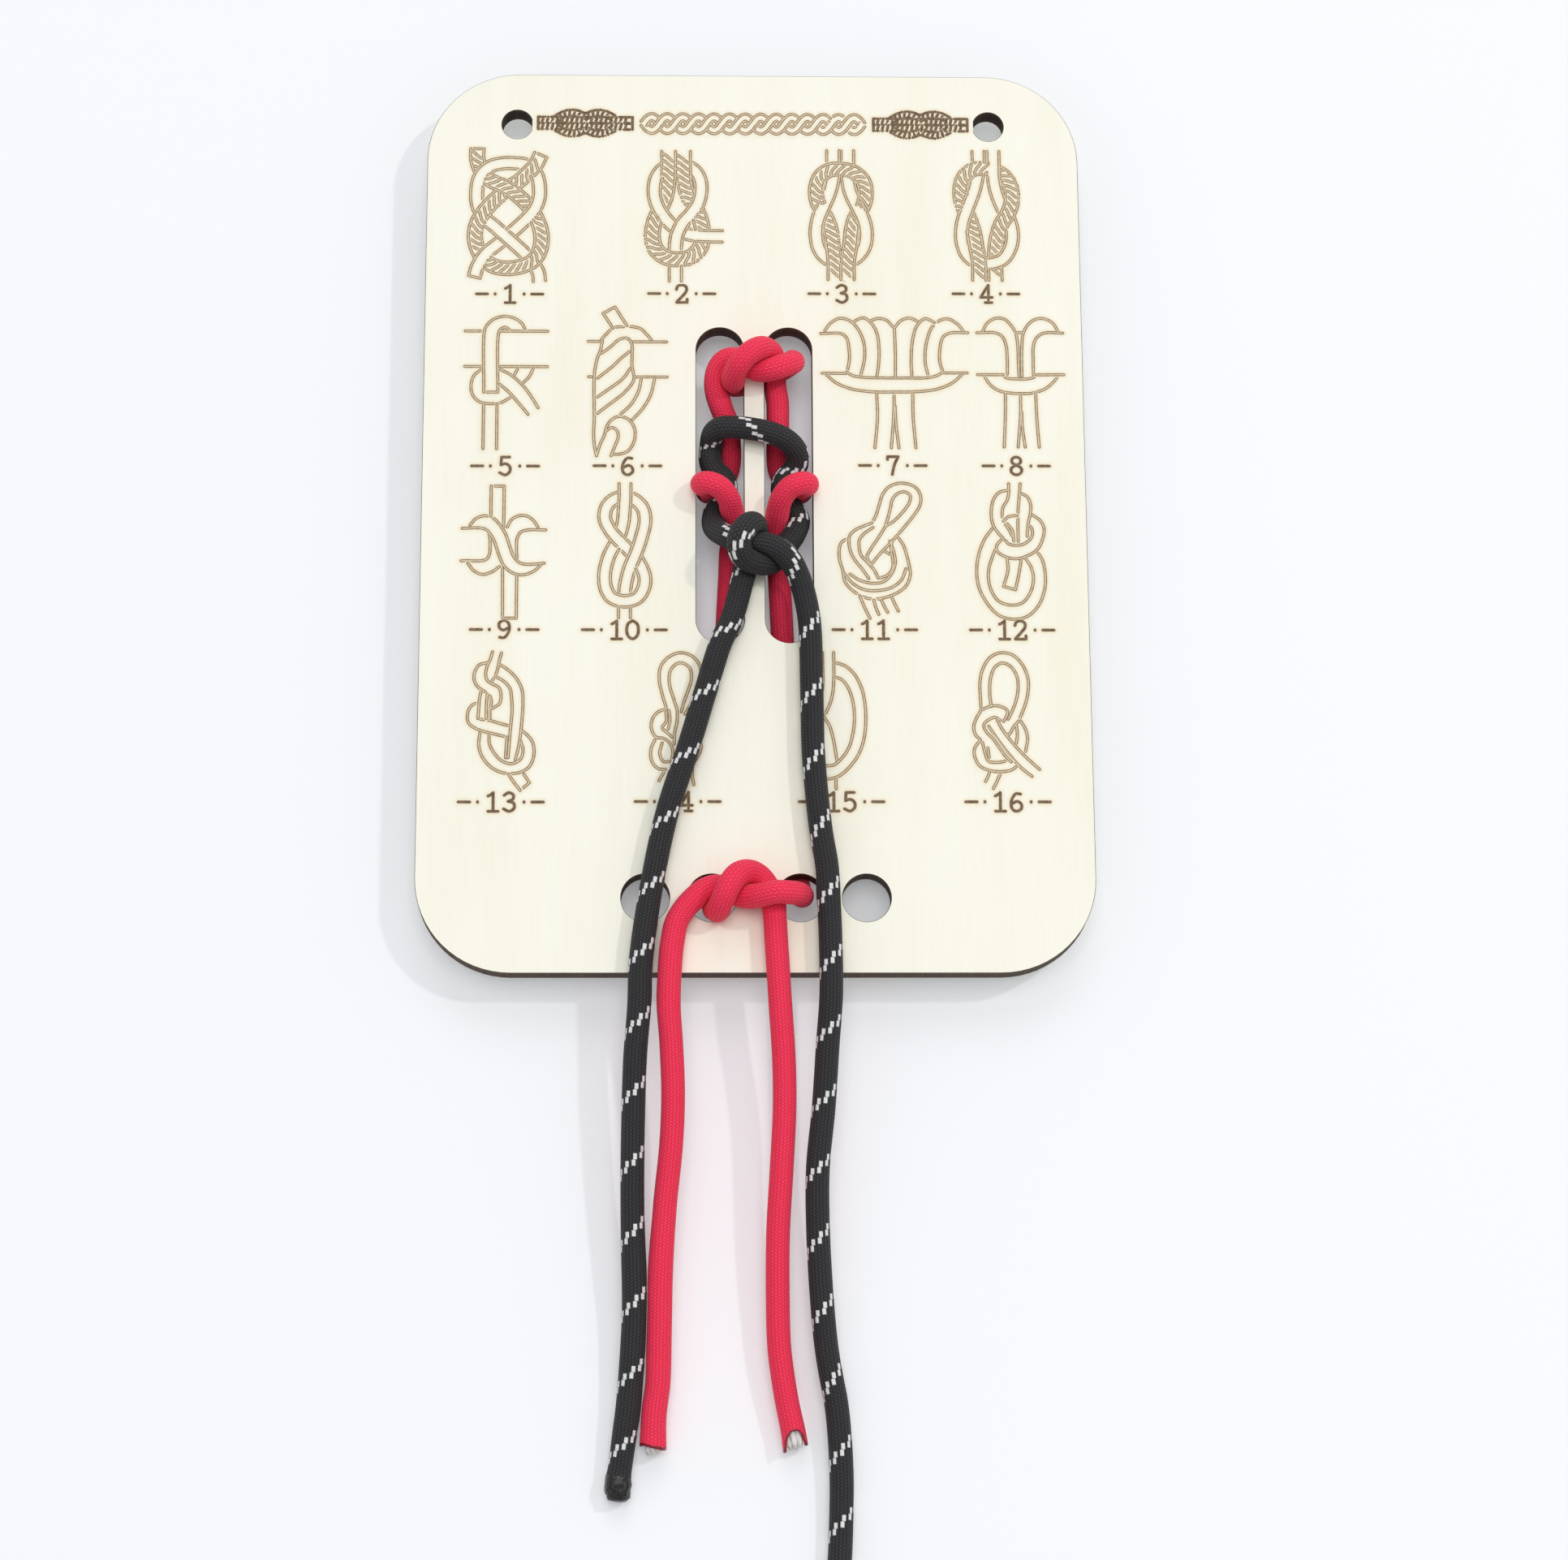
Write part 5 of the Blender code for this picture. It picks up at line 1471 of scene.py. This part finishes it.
BLACK_MIDDLE = [
    (-2.8, -15.8, 2.35), (-2.1, -12.7, 2.1, 0.84), (-1.5, -10.1, 1.8, 0.74), (-0.9, -7.8, 1.75, 0.7),
    (-0.2, -5.9, 2.1, 0.7), (0.1, -4.6, 3.5, 0.7), (-0.1, -4.1, 5.2, 0.7), (-0.9, -4.5, 6.9, 0.71),
    (-1.9, -5.7, 8.1, 0.76), (-2.7, -7.3, 8.4, 0.8), (-2.8, -8.9, 7.7, 0.76), (-2.1, -10.0, 6.4, 0.72),
    (-0.8, -10.5, 5.3, 0.7), (0.6, -10.55, 4.35, 0.7), (1.8, -10.25, 3.0, 0.71), (3.0, -9.5, 1.6, 0.74),
    (4.2, -8.05, 0.1, 0.79),
    (5.5, -5.9, -0.6, 0.8), (6.9, -3.5, -1.0, 0.82), (7.5, -1.0, -2.0, 0.82),
    (6.6, 0.8, -2.2, 0.8), (5.3, 2.6, -2.2, 0.73), (4.8, 4.4, -2.2, 0.71), (5.2, 6.3, -2.2, 0.73),
    (6.8, 8.0, -1.9, 0.82), (7.5, 9.8, -0.6), (6.7, 11.2, 0.8), (4.9, 12.4, 2.0), (2.3, 13.3, 2.4),
    (-0.6, 13.9, 2.4), (-3.6, 14.2, 2.4), (-5.6, 14.3, 1.8), (-7.0, 13.9, -0.2, 0.9),
    (-7.4, 12.2, -2.0, 0.9), (-7.5, 9.8, -2.2, 0.9), (-6.8, 8.0, -2.2, 0.82), (-5.2, 6.3, -2.2, 0.73),
    (-4.8, 4.4, -2.2, 0.71), (-5.3, 2.6, -2.2, 0.73), (-6.5, 0.8, -2.1, 0.76),
    (-7.0, -1.2, -1.5, 0.75), (-6.8, -3.0, 0.0, 0.8), (-5.7, -4.7, 2.1, 0.82), (-4.3, -6.0, 3.9, 0.76),
    (-2.6, -7.0, 4.95, 0.7), (-0.6, -7.35, 5.2, 0.68), (1.65, -7.62, 5.35, 0.71), (3.8, -8.4, 5.2, 0.8),
    (5.9, -10.1, 4.3, 0.92), (7.3, -12.5, 3.1), (8.3, -15.6, 2.4),
]

BLACK_TAIL_RIGHT = [
    (9.1, -20.4, 2.35), (9.4, -32.2, 2.35), (9.6, -43.4, 2.35), (10.7, -56.0, 2.35), (11.7, -62.6, 2.35),
    (12.0, -69.3, 2.35), (12.2, -75.9, 2.35), (12.2, -84.1, 2.09), (11.6, -92.2, 1.21),
    (10.9, -102.3, 0.08), (9.9, -112.3, -1.06), (9.9, -122.3, -2.21), (10.4, -132.2, -3.28),
    (11.1, -140.3, -4.12), (11.8, -144.9, -4.54), (12.7, -149.8, -4.99), (13.2, -154.7, -5.33),
    (13.5, -161.4, -5.72), (13.4, -168.0, -5.95), (13.1, -174.6, -6.0), (12.3, -184.5, -6.0),
    (11.4, -194.5, -6.0), (11.0, -204.5, -6.0), (11.3, -214.5, -6.0), (12.0, -224.5, -6.0),
    (12.4, -229.5, -5.95), (12.5, -230.9, -5.9, 0.97), (12.6, -232.3, -5.85, 1.12),
    (12.7, -233.7, -5.85, 1.1), (12.8, -234.9, -5.85, 0.72),
]


class EndForm(Enum):
    """Forms of a cord's free end."""

    RAGGED = "ragged"
    PRONGED = "pronged"
    MELTED = "melted"


@dataclass
class Cord:
    """One rope, drawn as its two free tails and the knotted stretch between them."""

    colour: str
    left: list[tuple[float, ...]]
    middle: list[tuple[float, ...]]
    right: list[tuple[float, ...]]
    left_end: EndForm
    right_end: EndForm
    diameter: float = 3.9 * MM
    sides: int = 32
    ring_step: float = 0.45 * MM
    spans: int = 40
    end_run: float = 6.0 * MM
    end_swell: float = 0.09
    melted_run: float = 3.3 * MM
    melted_swell: float = 1.06
    melted_lumps: tuple[Point2, Point2] = ((1.1 * MM, 0.44), (0.5 * MM, 0.20))
    melted_dome: tuple[Point2, Point2, Point2] = ((0.28 * MM, 0.82), (0.42 * MM, 0.50), (0.46 * MM, 0.20))
    sheath: float = 0.36 * MM
    open_share: float = 0.8
    rim_rise: float = 0.07 * MM
    prong_width: float = 0.86
    prong_depth: float = 2.9
    first: float = field(init=False)
    last: float = field(init=False)
    length: float = field(init=False)
    cuts: tuple[int, int] = field(init=False)
    places: np.ndarray = field(init=False)
    shares: np.ndarray = field(init=False)
    along: np.ndarray = field(init=False)
    ways: np.ndarray = field(init=False)
    outs: np.ndarray = field(init=False)
    radii: np.ndarray = field(init=False)

    def __post_init__(self) -> None:
        """Read the smooth route, and carry a frame along it without twist."""
        fine, shares = smooth_route(self.left + self.middle + self.right, self.spans)
        fine = fine + np.array([0.0, 0.0, FACE_HEIGHT])
        run = run_along(fine)
        self.first = float(run[len(self.left) * self.spans])
        self.last = float(run[(len(self.left) + len(self.middle) - 1) * self.spans])
        self.length = float(run[-1])
        marks = (0.0, self.first, self.last, self.length)
        counts = [max(4, round((b - a) / self.ring_step)) for a, b in zip(marks, marks[1:])]
        parts = [np.linspace(a, b, count + 1)[:-1] for a, b, count in zip(marks, marks[1:], counts)]
        self.cuts = (counts[0], counts[0] + counts[1])
        self.along = np.concatenate([*parts, [self.length]])
        self.places = read_at(self.along, run, fine)
        self.shares = np.interp(self.along, run, shares)
        self.ways = ways_along(self.places)
        sideways = self.carried()
        upways = np.cross(self.ways, sideways)
        angles = 2.0 * np.pi * np.arange(self.sides) / self.sides
        self.outs = (np.cos(angles)[None, :, None] * sideways[:, None, :]
                     + np.sin(angles)[None, :, None] * upways[:, None, :])
        self.radii = np.repeat(self.wanted()[:, None], self.sides, axis=1)

    def carried(self) -> np.ndarray:
        """Carry a way square to the cord along it, without twist.

        Returns:
            The way at each place, of length 1.
        """
        side = np.cross(self.ways[0], (0.0, 0.0, 1.0))
        side /= np.linalg.norm(side)
        sides = [side]
        for before, way in zip(self.ways, self.ways[1:]):
            axis = np.cross(before, way)
            size = float(np.linalg.norm(axis))
            if size > NO_TURN:
                turn = Matrix.Rotation(math.atan2(size, float(before @ way)), 3, Vector(axis / size))
                side = np.array(turn @ Vector(side))
            side = side - way * float(side @ way)
            side = side / np.linalg.norm(side)
            sides.append(side)
        return np.array(sides)

    def wanted(self) -> np.ndarray:
        """List the radius that the cord would have at each place with nothing beside it.

        Returns:
            The radii.
        """
        shares = np.ones(len(self.along))
        for end, gap in ((self.left_end, self.along), (self.right_end, self.length - self.along)):
            close = gap < self.end_run
            if end is EndForm.MELTED:
                shares[close] = self.shares[close]
                shares[gap < self.melted_run] *= self.melted_swell
            else:
                shares += self.end_swell * np.clip(1.0 - gap / self.end_run, 0.0, 1.0) ** 2
        return shares * self.diameter / 2.0

    def drawn_back(self, form: EndForm, out: np.ndarray) -> float:
        """Tell how far the rim of a cut end lies back from the cord's tip.

        Args:
            form: Form of the end.
            out: Way from the cord's middle line to the rim, of length 1.

        Returns:
            The distance.
        """
        side = float(out[0])
        if form is EndForm.PRONGED:
            arch = math.sqrt(max(0.0, 1.0 - (side / self.prong_width) ** 2))
            return (self.prong_depth * arch - 0.25 + 0.35 * side) * MM
        if form is EndForm.RAGGED:
            turn = math.atan2(float(out[2]), side)
            return (0.30 - 0.26 * math.tanh(4.0 * side + 0.6) + 0.09 * math.sin(5.0 * turn + 1.0)) * MM
        return 0.0

    def build(self, finish: bpy.types.Material, ends: bpy.types.Material) -> tuple[bpy.types.Object, bpy.types.Object]:
        """Build the knotted stretch and both tails.

        Args:
            finish: Finish of the sheath.
            ends: Finish of the singed or melted ends.

        Returns:
            The left and the right tail.
        """
        first, last = self.cuts
        cord = self.colour + "_cord"
        stretches = (
            ("_tied", Tube(self, first, last).build("tied"), "_cord_knotted"),
            ("_tail_left", Tube(self, 0, first, self.left_end).build("tail_left"), "_tail_left"),
            ("_tail_right", Tube(self, last, len(self.along) - 1, self.right_end).build("tail_right"), "_tail_right"),
        )
        pieces = []
        for name, mesh, node in stretches:
            pieces.append(new_piece(cord + name, mesh, cord, finish, ends))
            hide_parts(self.colour + node)
        return pieces[1], pieces[2]

    def declare(self, at_left: bool) -> None:
        """Work out a list of every fourth place along a tail's route, which is not kept.

        Args:
            at_left: True for the left tail.
        """
        first, last = self.cuts
        path = self.places[:first + 1][::-1] if at_left else self.places[last:]
        [tuple(place) for place in path[::4]] + [tuple(path[-1])]


class Tube:
    """One stretch of a cord in the making: rings of corners, the last of them at its free end where it has one."""

    def __init__(self, cord: Cord, start: int, stop: int, form: EndForm | None = None) -> None:
        """Start an empty tube.

        Args:
            cord: The cord.
            start: First place along it.
            stop: Last place along it.
            form: Form of the free end, which is at the start where that is 0 and at the stop otherwise.
        """
        self.cord = cord
        self.form = form
        self.order = list(range(start, stop + 1))
        if start == 0:
            self.order.reverse()
        self.onward = -1.0 if start == 0 else 1.0
        self.tip = self.order[-1]
        self.outward = cord.ways[self.tip] * self.onward
        self.shape = bmesh.new()
        self.chart = self.shape.loops.layers.uv.new("cord")
        self.rings: list[list[Any]] = []
        self.runs: list[list[float]] = []

    def gap(self, index: int) -> float:
        """Measure how far a place lies from the tip, along the cord."""
        return abs(float(self.cord.along[index] - self.cord.along[self.tip]))

    def add_ring(self, index: int, inset: float = 0.0, pushed: float = 0.0, shrink: float = 1.0) -> None:
        """Add a ring of corners.

        Args:
            index: Which place along the cord.
            inset: How far it lies inside the sheath.
            pushed: How far it is moved out of the end.
            shrink: Share of its radius that is left.
        """
        cord = self.cord
        gap = self.gap(index)
        ring = []
        run = []
        for k in range(cord.sides):
            out = cord.outs[index, k]
            back = 0.0
            if self.form is not None and gap < cord.end_run:
                back = cord.drawn_back(self.form, out) * (1.0 - gap / cord.end_run)
            radius = (float(cord.radii[index, k]) - inset) * shrink
            place = cord.places[index] + radius * out + self.outward * (pushed - back)
            if self.form is EndForm.MELTED and gap < cord.melted_run:
                lump = sum(noise.noise(Vector(place / size)) * share for size, share in cord.melted_lumps)
                place = place + out * lump * MM * min(1.0, 2.0 * (1.0 - gap / cord.melted_run) + 0.2)
            place[2] = max(place[2], LEAST_HEIGHT)
            ring.append(self.shape.verts.new(place))
            run.append(float(cord.along[index]) + (pushed - back) * self.onward)
        self.rings.append(ring)
        self.runs.append(run)

    def add_end(self) -> None:
        """Add the rings of the free end: a rounded one where it is melted, and the sheath's inside where it is cut."""
        cord = self.cord
        if self.form is EndForm.MELTED:
            for pushed, shrink in cord.melted_dome:
                self.add_ring(self.tip, 0.0, pushed, shrink)
            return
        self.add_ring(self.tip, cord.sheath * 0.5, cord.rim_rise)
        self.add_ring(self.tip, cord.sheath)
        deep = round(cord.end_run * cord.open_share / cord.ring_step)
        for index in self.order[-2:-1 - deep:-1]:
            self.add_ring(index, cord.sheath)

    def add_faces(self, outer: int) -> None:
        """Join the rings by faces, and chart the way round and along the cord on them.

        Args:
            outer: Rank of the last ring before the free end's own ones.
        """
        sides = self.cord.sides
        for rank in range(len(self.rings) - 1):
            if self.form is EndForm.MELTED:
                burnt = self.gap(self.order[min(rank + 1, outer)]) < self.cord.melted_run
            else:
                burnt = self.form is not None and outer - 1 <= rank <= outer + 2
            for k in range(sides):
                corners = ((k, rank), (k + 1, rank), (k + 1, rank + 1), (k, rank + 1))
                face = self.shape.faces.new([self.rings[place][turn % sides] for turn, place in corners])
                face.smooth = True
                face.material_index = int(burnt)
                for loop, (turn, place) in zip(face.loops, corners):
                    loop[self.chart].uv = (turn / sides, self.runs[place][turn % sides] * CHART_SCALE)

    def build(self, name: str) -> bpy.types.Mesh:
        """Build the stretch.

        Args:
            name: Name of the mesh.

        Returns:
            The mesh.
        """
        for index in self.order:
            self.add_ring(index)
        outer = len(self.rings) - 1
        if self.form is not None:
            self.add_end()
        self.add_faces(outer)
        if self.form is not None:
            cap = self.shape.faces.new(self.rings[-1])
            cap.material_index = 1
            cap.smooth = self.form is EndForm.MELTED
        bmesh.ops.recalc_face_normals(self.shape, faces=self.shape.faces)
        first = self.rings[0]
        middle = sum((corner.co for corner in first), Vector()) / len(first)
        if self.form is None and first[0].link_faces[0].normal.dot(first[0].co - middle) < 0.0:
            bmesh.ops.reverse_faces(self.shape, faces=self.shape.faces)
        return take_mesh(self.shape, name)


@dataclass
class CoreBundle:
    """Core yarns that show inside a cut end, as a bundle of frayed strands."""

    name: str
    node: str
    cord: Cord
    at_left: bool
    stands_out: float
    shown: float = 5.0 * MM
    strand: float = 0.52 * MM
    spread: float = 0.95 * MM
    strands: int = 7
    sides: int = 12
    rings: int = 9
    uneven: float = 0.55
    lay: float = 0.5
    rough: float = 0.22
    narrowing: Point2 = (0.9, 0.42)

    def build(self, finish: bpy.types.Material) -> bpy.types.Object:
        """Build the bundle and let it stand for the CAD core.

        Args:
            finish: Finish of the yarns.

        Returns:
            The piece.
        """
        index = 0 if self.at_left else len(self.cord.along) - 1
        way = self.cord.ways[index] * (-1.0 if self.at_left else 1.0)
        across = np.cross(way, (0.0, 0.0, 1.0))
        across /= np.linalg.norm(across)
        up = np.cross(across, way)
        tip = self.cord.places[index] + way * self.stands_out
        shape = bmesh.new()
        thickness = [1.0] * (self.rings - len(self.narrowing)) + list(self.narrowing)
        for strand in range(self.strands):
            spread = 0.0 if strand == 0 else self.spread
            uneven = noise.noise(Vector((3.1 * strand, 1.7, 0.4))) * self.uneven * MM
            before: list[Any] | None = None
            for rank in range(self.rings):
                share = rank / (self.rings - 1)
                turn = math.pi * strand / 3.0 + self.lay * share
                middle = (tip - way * (self.shown * (1.0 - share) - uneven * share)
                          + spread * (math.cos(turn) * across + math.sin(turn) * up))
                ring = []
                for k in range(self.sides):
                    angle = 2.0 * math.pi * k / self.sides
                    out = math.cos(angle) * across + math.sin(angle) * up
                    rough = 1.0 + self.rough * noise.noise(Vector((strand * 5.0, 4.0 * share, k * 1.3)))
                    place = middle + out * (self.strand * thickness[rank]) * rough
                    place[2] = max(place[2], LEAST_HEIGHT)
                    ring.append(shape.verts.new(place))
                if before is None:
                    shape.faces.new(ring[::-1])
                else:
                    for k in range(self.sides):
                        nxt = (k + 1) % self.sides
                        shape.faces.new((before[k], before[nxt], ring[nxt], ring[k])).smooth = True
                before = ring
            shape.faces.new(before)
        bmesh.ops.recalc_face_normals(shape, faces=shape.faces)
        piece = new_piece(self.name, take_mesh(shape, self.name), "cord_core", finish)
        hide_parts(self.node)
        return piece


@dataclass
class Packing:
    """Presses the cords against each other and the wood, so that they fill the room they have in the knots."""

    board: Board
    cords: Sequence[Cord]
    gap: float = 0.07 * MM
    apart: float = 6.6 * MM
    most_swell: float = 1.06
    fill: float = 0.28
    fill_reach: float = 1.3 * MM
    least_share: float = 0.35
    look_round: float = 4.6
    most_bend: float = 0.88
    bend_reach: int = 3
    even_reach: int = 9
    even_turns: int = 6
    halvings: int = 8

    def press(self) -> None:
        """Set the radius of every corner of every cord."""
        for cord in self.cords:
            wanted = cord.wanted()
            found = [self.room(cord, index, float(wanted[index])) for index in range(len(cord.along))]
            room = np.stack([most for most, _ in found])
            close = np.stack([share for _, share in found])
            swell = np.array([self.swell(room[index] / wanted[index]) for index in range(len(cord.along))])
            swell = self.smoothed(swell, self.even_reach)
            target = wanted[:, None] * (swell[:, None] + self.fill * close)
            radii = np.minimum(target, room)
            for _ in range(self.even_turns):
                spread = (np.roll(radii, 1, 1) + np.roll(radii, -1, 1)) / 4.0 + radii / 2.0
                padded = np.concatenate([spread[:1], spread, spread[-1:]])
                spread = (padded[:-2] + padded[2:]) / 4.0 + padded[1:-1] / 2.0
                radii = np.minimum(spread, room)
            cord.radii = radii

    def room(self, cord: Cord, index: int, wanted: float) -> tuple[np.ndarray, np.ndarray]:
        """Measure how far the corners of one ring may move out, and which of them have a cord beside them.

        Args:
            cord: The cord.
            index: Which place along it.
            wanted: Radius that it has with nothing beside it.

        Returns:
            The largest radius of each corner, and its closeness to other cords from 0 to 1.
        """
        centre = cord.places[index]
        outs = cord.outs[index]
        beside = []
        for other in self.cords:
            close = np.linalg.norm(other.places - centre, axis=1) < wanted * self.look_round
            if other is cord:
                close &= np.abs(other.along - cord.along[index]) > self.apart
            beside.append(other.places[close])
        others = np.concatenate(beside)
        ahead = min(index + self.bend_reach, len(cord.along) - 1)
        behind = max(index - self.bend_reach, 0)
        run = float(cord.along[ahead] - cord.along[behind]) / 2.0
        bend = outs @ ((cord.places[ahead] + cord.places[behind] - 2.0 * centre) / run ** 2)
        low = np.full(cord.sides, wanted * self.least_share)
        high = np.full(cord.sides, wanted * (self.most_swell + self.fill))
        close = np.zeros(cord.sides)
        if len(others):
            free = np.linalg.norm((centre + outs * wanted)[:, None, :] - others[None, :, :], axis=2).min(1) - wanted
            close = np.clip(1.0 - free / self.fill_reach, 0.0, 1.0)
        for step in range(self.halvings + 1):
            middle = high if step == 0 else (low + high) / 2.0
            corners = centre + outs * middle[:, None]
            fine = self.board.clear(corners, self.gap) & (middle * bend < self.most_bend)
            if len(others):
                nearest = np.linalg.norm(corners[:, None, :] - others[None, :, :], axis=2).min(1)
                fine &= nearest >= middle + self.gap
            low = np.where(fine, middle, low)
            high = np.where(fine, high, middle)
        return low, close

    def swell(self, room: np.ndarray) -> float:
        """Find how much a ring swells where it is free, to keep its area.

        Args:
            room: Largest share of the wanted radius, for each corner.

        Returns:
            The swelling, 1 for none.
        """
        for swell in np.arange(1.0, self.most_swell, 0.01):
            if float((np.minimum(swell, room) ** 2).mean()) >= 1.0:
                return float(swell)
        return self.most_swell

    @staticmethod
    def smoothed(values: np.ndarray, reach: int) -> np.ndarray:
        """Average values over their neighbours."""
        padded = np.pad(values, reach, mode="edge")
        return np.convolve(padded, np.ones(2 * reach + 1) / (2 * reach + 1), mode="valid")


# Stage


@dataclass
class Stage:
    """Table, lights, sky and camera."""

    table_size: float = 12.0
    lamp_place: Triple = (1.23, 0.59, 1.61)
    lamp_size: float = 0.11
    lamp_power: float = 7.8
    lamp_colour: Colour = (1.0, 0.985, 0.95)
    ceiling_from: Triple = (0.0, 0.2, 2.0)
    ceiling_strength: float = 0.88
    window_from: Triple = (0.0, 1.5, 1.3)
    window_strength: float = 0.45
    spread: float = 33.0
    sky: float = 0.50
    sky_seen: float = 0.93
    sky_colour: Colour = (0.985, 0.99, 1.0)
    camera_place: Triple = (-0.01281, -0.20853, 0.63558)
    camera_turn: Triple = (14.425, -1.516, -0.33)
    lens: float = 89.2
    sensor: float = 36.0
    nearest: float = 0.01

    def build(self) -> None:
        """Build the table, the lights, the sky and the camera."""
        self.add_table()
        self.add_lights()
        self.add_sky()
        self.add_camera()

    def add_table(self) -> None:
        """Add the table top."""
        shape = bmesh.new()
        half = self.table_size / 2.0
        shape.faces.new([shape.verts.new((x, y, 0.0)) for x, y in
                         ((-half, -half), (half, -half), (half, half), (-half, half))])
        mesh = take_mesh(shape, "table_top")
        mesh.materials.append(TableFinish().make())
        show("table_top", mesh)

    def add_lights(self) -> None:
        """Add the lamp, and the even light from the ceiling and from behind."""
        lamp = self.light("window_lamp", "AREA", self.lamp_place, self.lamp_power)
        lamp.shape = "DISK"
        lamp.size = self.lamp_size
        lamp.color = self.lamp_colour
        for name, place, strength in (("ceiling_light", self.ceiling_from, self.ceiling_strength),
                                      ("window_light", self.window_from, self.window_strength)):
            self.light(name, "SUN", place, strength).angle = math.radians(self.spread)

    @staticmethod
    def light(name: str, kind: str, place: Triple, strength: float) -> bpy.types.Light:
        """Add a light that shines from a place towards the board.

        Args:
            name: The light's name.
            kind: Kind of light.
            place: The place.
            strength: Its strength.

        Returns:
            The light.
        """
        data = bpy.data.lights.new(name, kind)
        data.energy = strength
        made = show(name, data)
        made.location = place
        made.rotation_mode = "QUATERNION"
        made.rotation_quaternion = Vector(place).to_track_quat("Z", "Y")
        return data

    def add_sky(self) -> None:
        """Add the sky, which the camera sees brighter than it shines."""
        world = bpy.data.worlds.new("pale_sky")
        world.use_nodes = True
        nodes = world.node_tree.nodes
        background = nodes["Background"]
        shown = nodes.new("ShaderNodeBackground")
        for sky, strength in ((background, self.sky), (shown, self.sky_seen)):
            sky.inputs["Color"].default_value = (*self.sky_colour, 1.0)
            sky.inputs["Strength"].default_value = strength
        chosen = nodes.new("ShaderNodeMixShader")
        links = world.node_tree.links
        links.new(nodes.new("ShaderNodeLightPath").outputs["Is Camera Ray"], chosen.inputs[0])
        links.new(background.outputs[0], chosen.inputs[1])
        links.new(shown.outputs[0], chosen.inputs[2])
        links.new(chosen.outputs[0], nodes["World Output"].inputs["Surface"])
        bpy.context.scene.world = world

    def add_camera(self) -> None:
        """Add the camera."""
        view = bpy.data.cameras.new("view")
        view.lens = self.lens
        view.sensor_width = self.sensor
        view.clip_start = self.nearest
        camera = show("view", view)
        camera.location = self.camera_place
        camera.rotation_euler = [math.radians(turn) for turn in self.camera_turn]
        bpy.context.scene.camera = camera
        bpy.context.scene.view_settings.view_transform = "Standard"


def main() -> None:
    """Build the whole scene in order."""
    logging.basicConfig(level=logging.INFO, format="%(message)s")
    Stage().build()
    # Each braid gets a lighter stitch-top colour as painted highlight and a darker groove colour as painted shade.
    red_braid = BraidFinish("red_braid", crest=paint(255, 62, 100), valley=paint(226, 28, 62),
                            shade=paint(246, 46, 84)).make()
    black_braid = BraidFinish("black_braid", crest=paint(56, 56, 59), valley=paint(20, 20, 22),
                              shade=paint(32, 32, 35), sheen=0.05, tracer=paint(238, 238, 239)).make()
    # Melted ends: a darker colour in the hollows as painted shade, a lighter one on raised lumps as painted highlight,
    # then flecks.
    red_singed = MeltedFinish("red_singed", paint(120, 16, 36), paint(176, 22, 52), paint(96, 60, 44)).make()
    black_melted = MeltedFinish("black_melted", paint(12, 12, 12), paint(36, 35, 35), paint(82, 74, 68)).make()
    board = Board()
    red = Cord("red", RED_TAIL_LEFT, RED_MIDDLE, RED_TAIL_RIGHT, EndForm.RAGGED, EndForm.PRONGED)
    black = Cord("black", BLACK_TAIL_LEFT, BLACK_MIDDLE, BLACK_TAIL_RIGHT, EndForm.MELTED, EndForm.MELTED)
    Packing(board, (red, black)).press()
    red_left, red_right = red.build(red_braid, red_singed)
    black_left, black_right = black.build(black_braid, black_melted)
    core = CoreFinish().make()
    core_left = CoreBundle("red_core_end_left", "red_core_left", red, True, 0.70 * MM).build(core)
    core_right = CoreBundle("red_core_end_right", "red_core_right", red, False, 0.20 * MM).build(core)
    red.declare(True)
    red.declare(False)
    black.declare(True)
    black.declare(False)
    veneer = VeneerFinish().make()
    board.build(veneer, CharredFinish().make())
    Engraving().build(veneer)


if __name__ == "__main__":
    main()
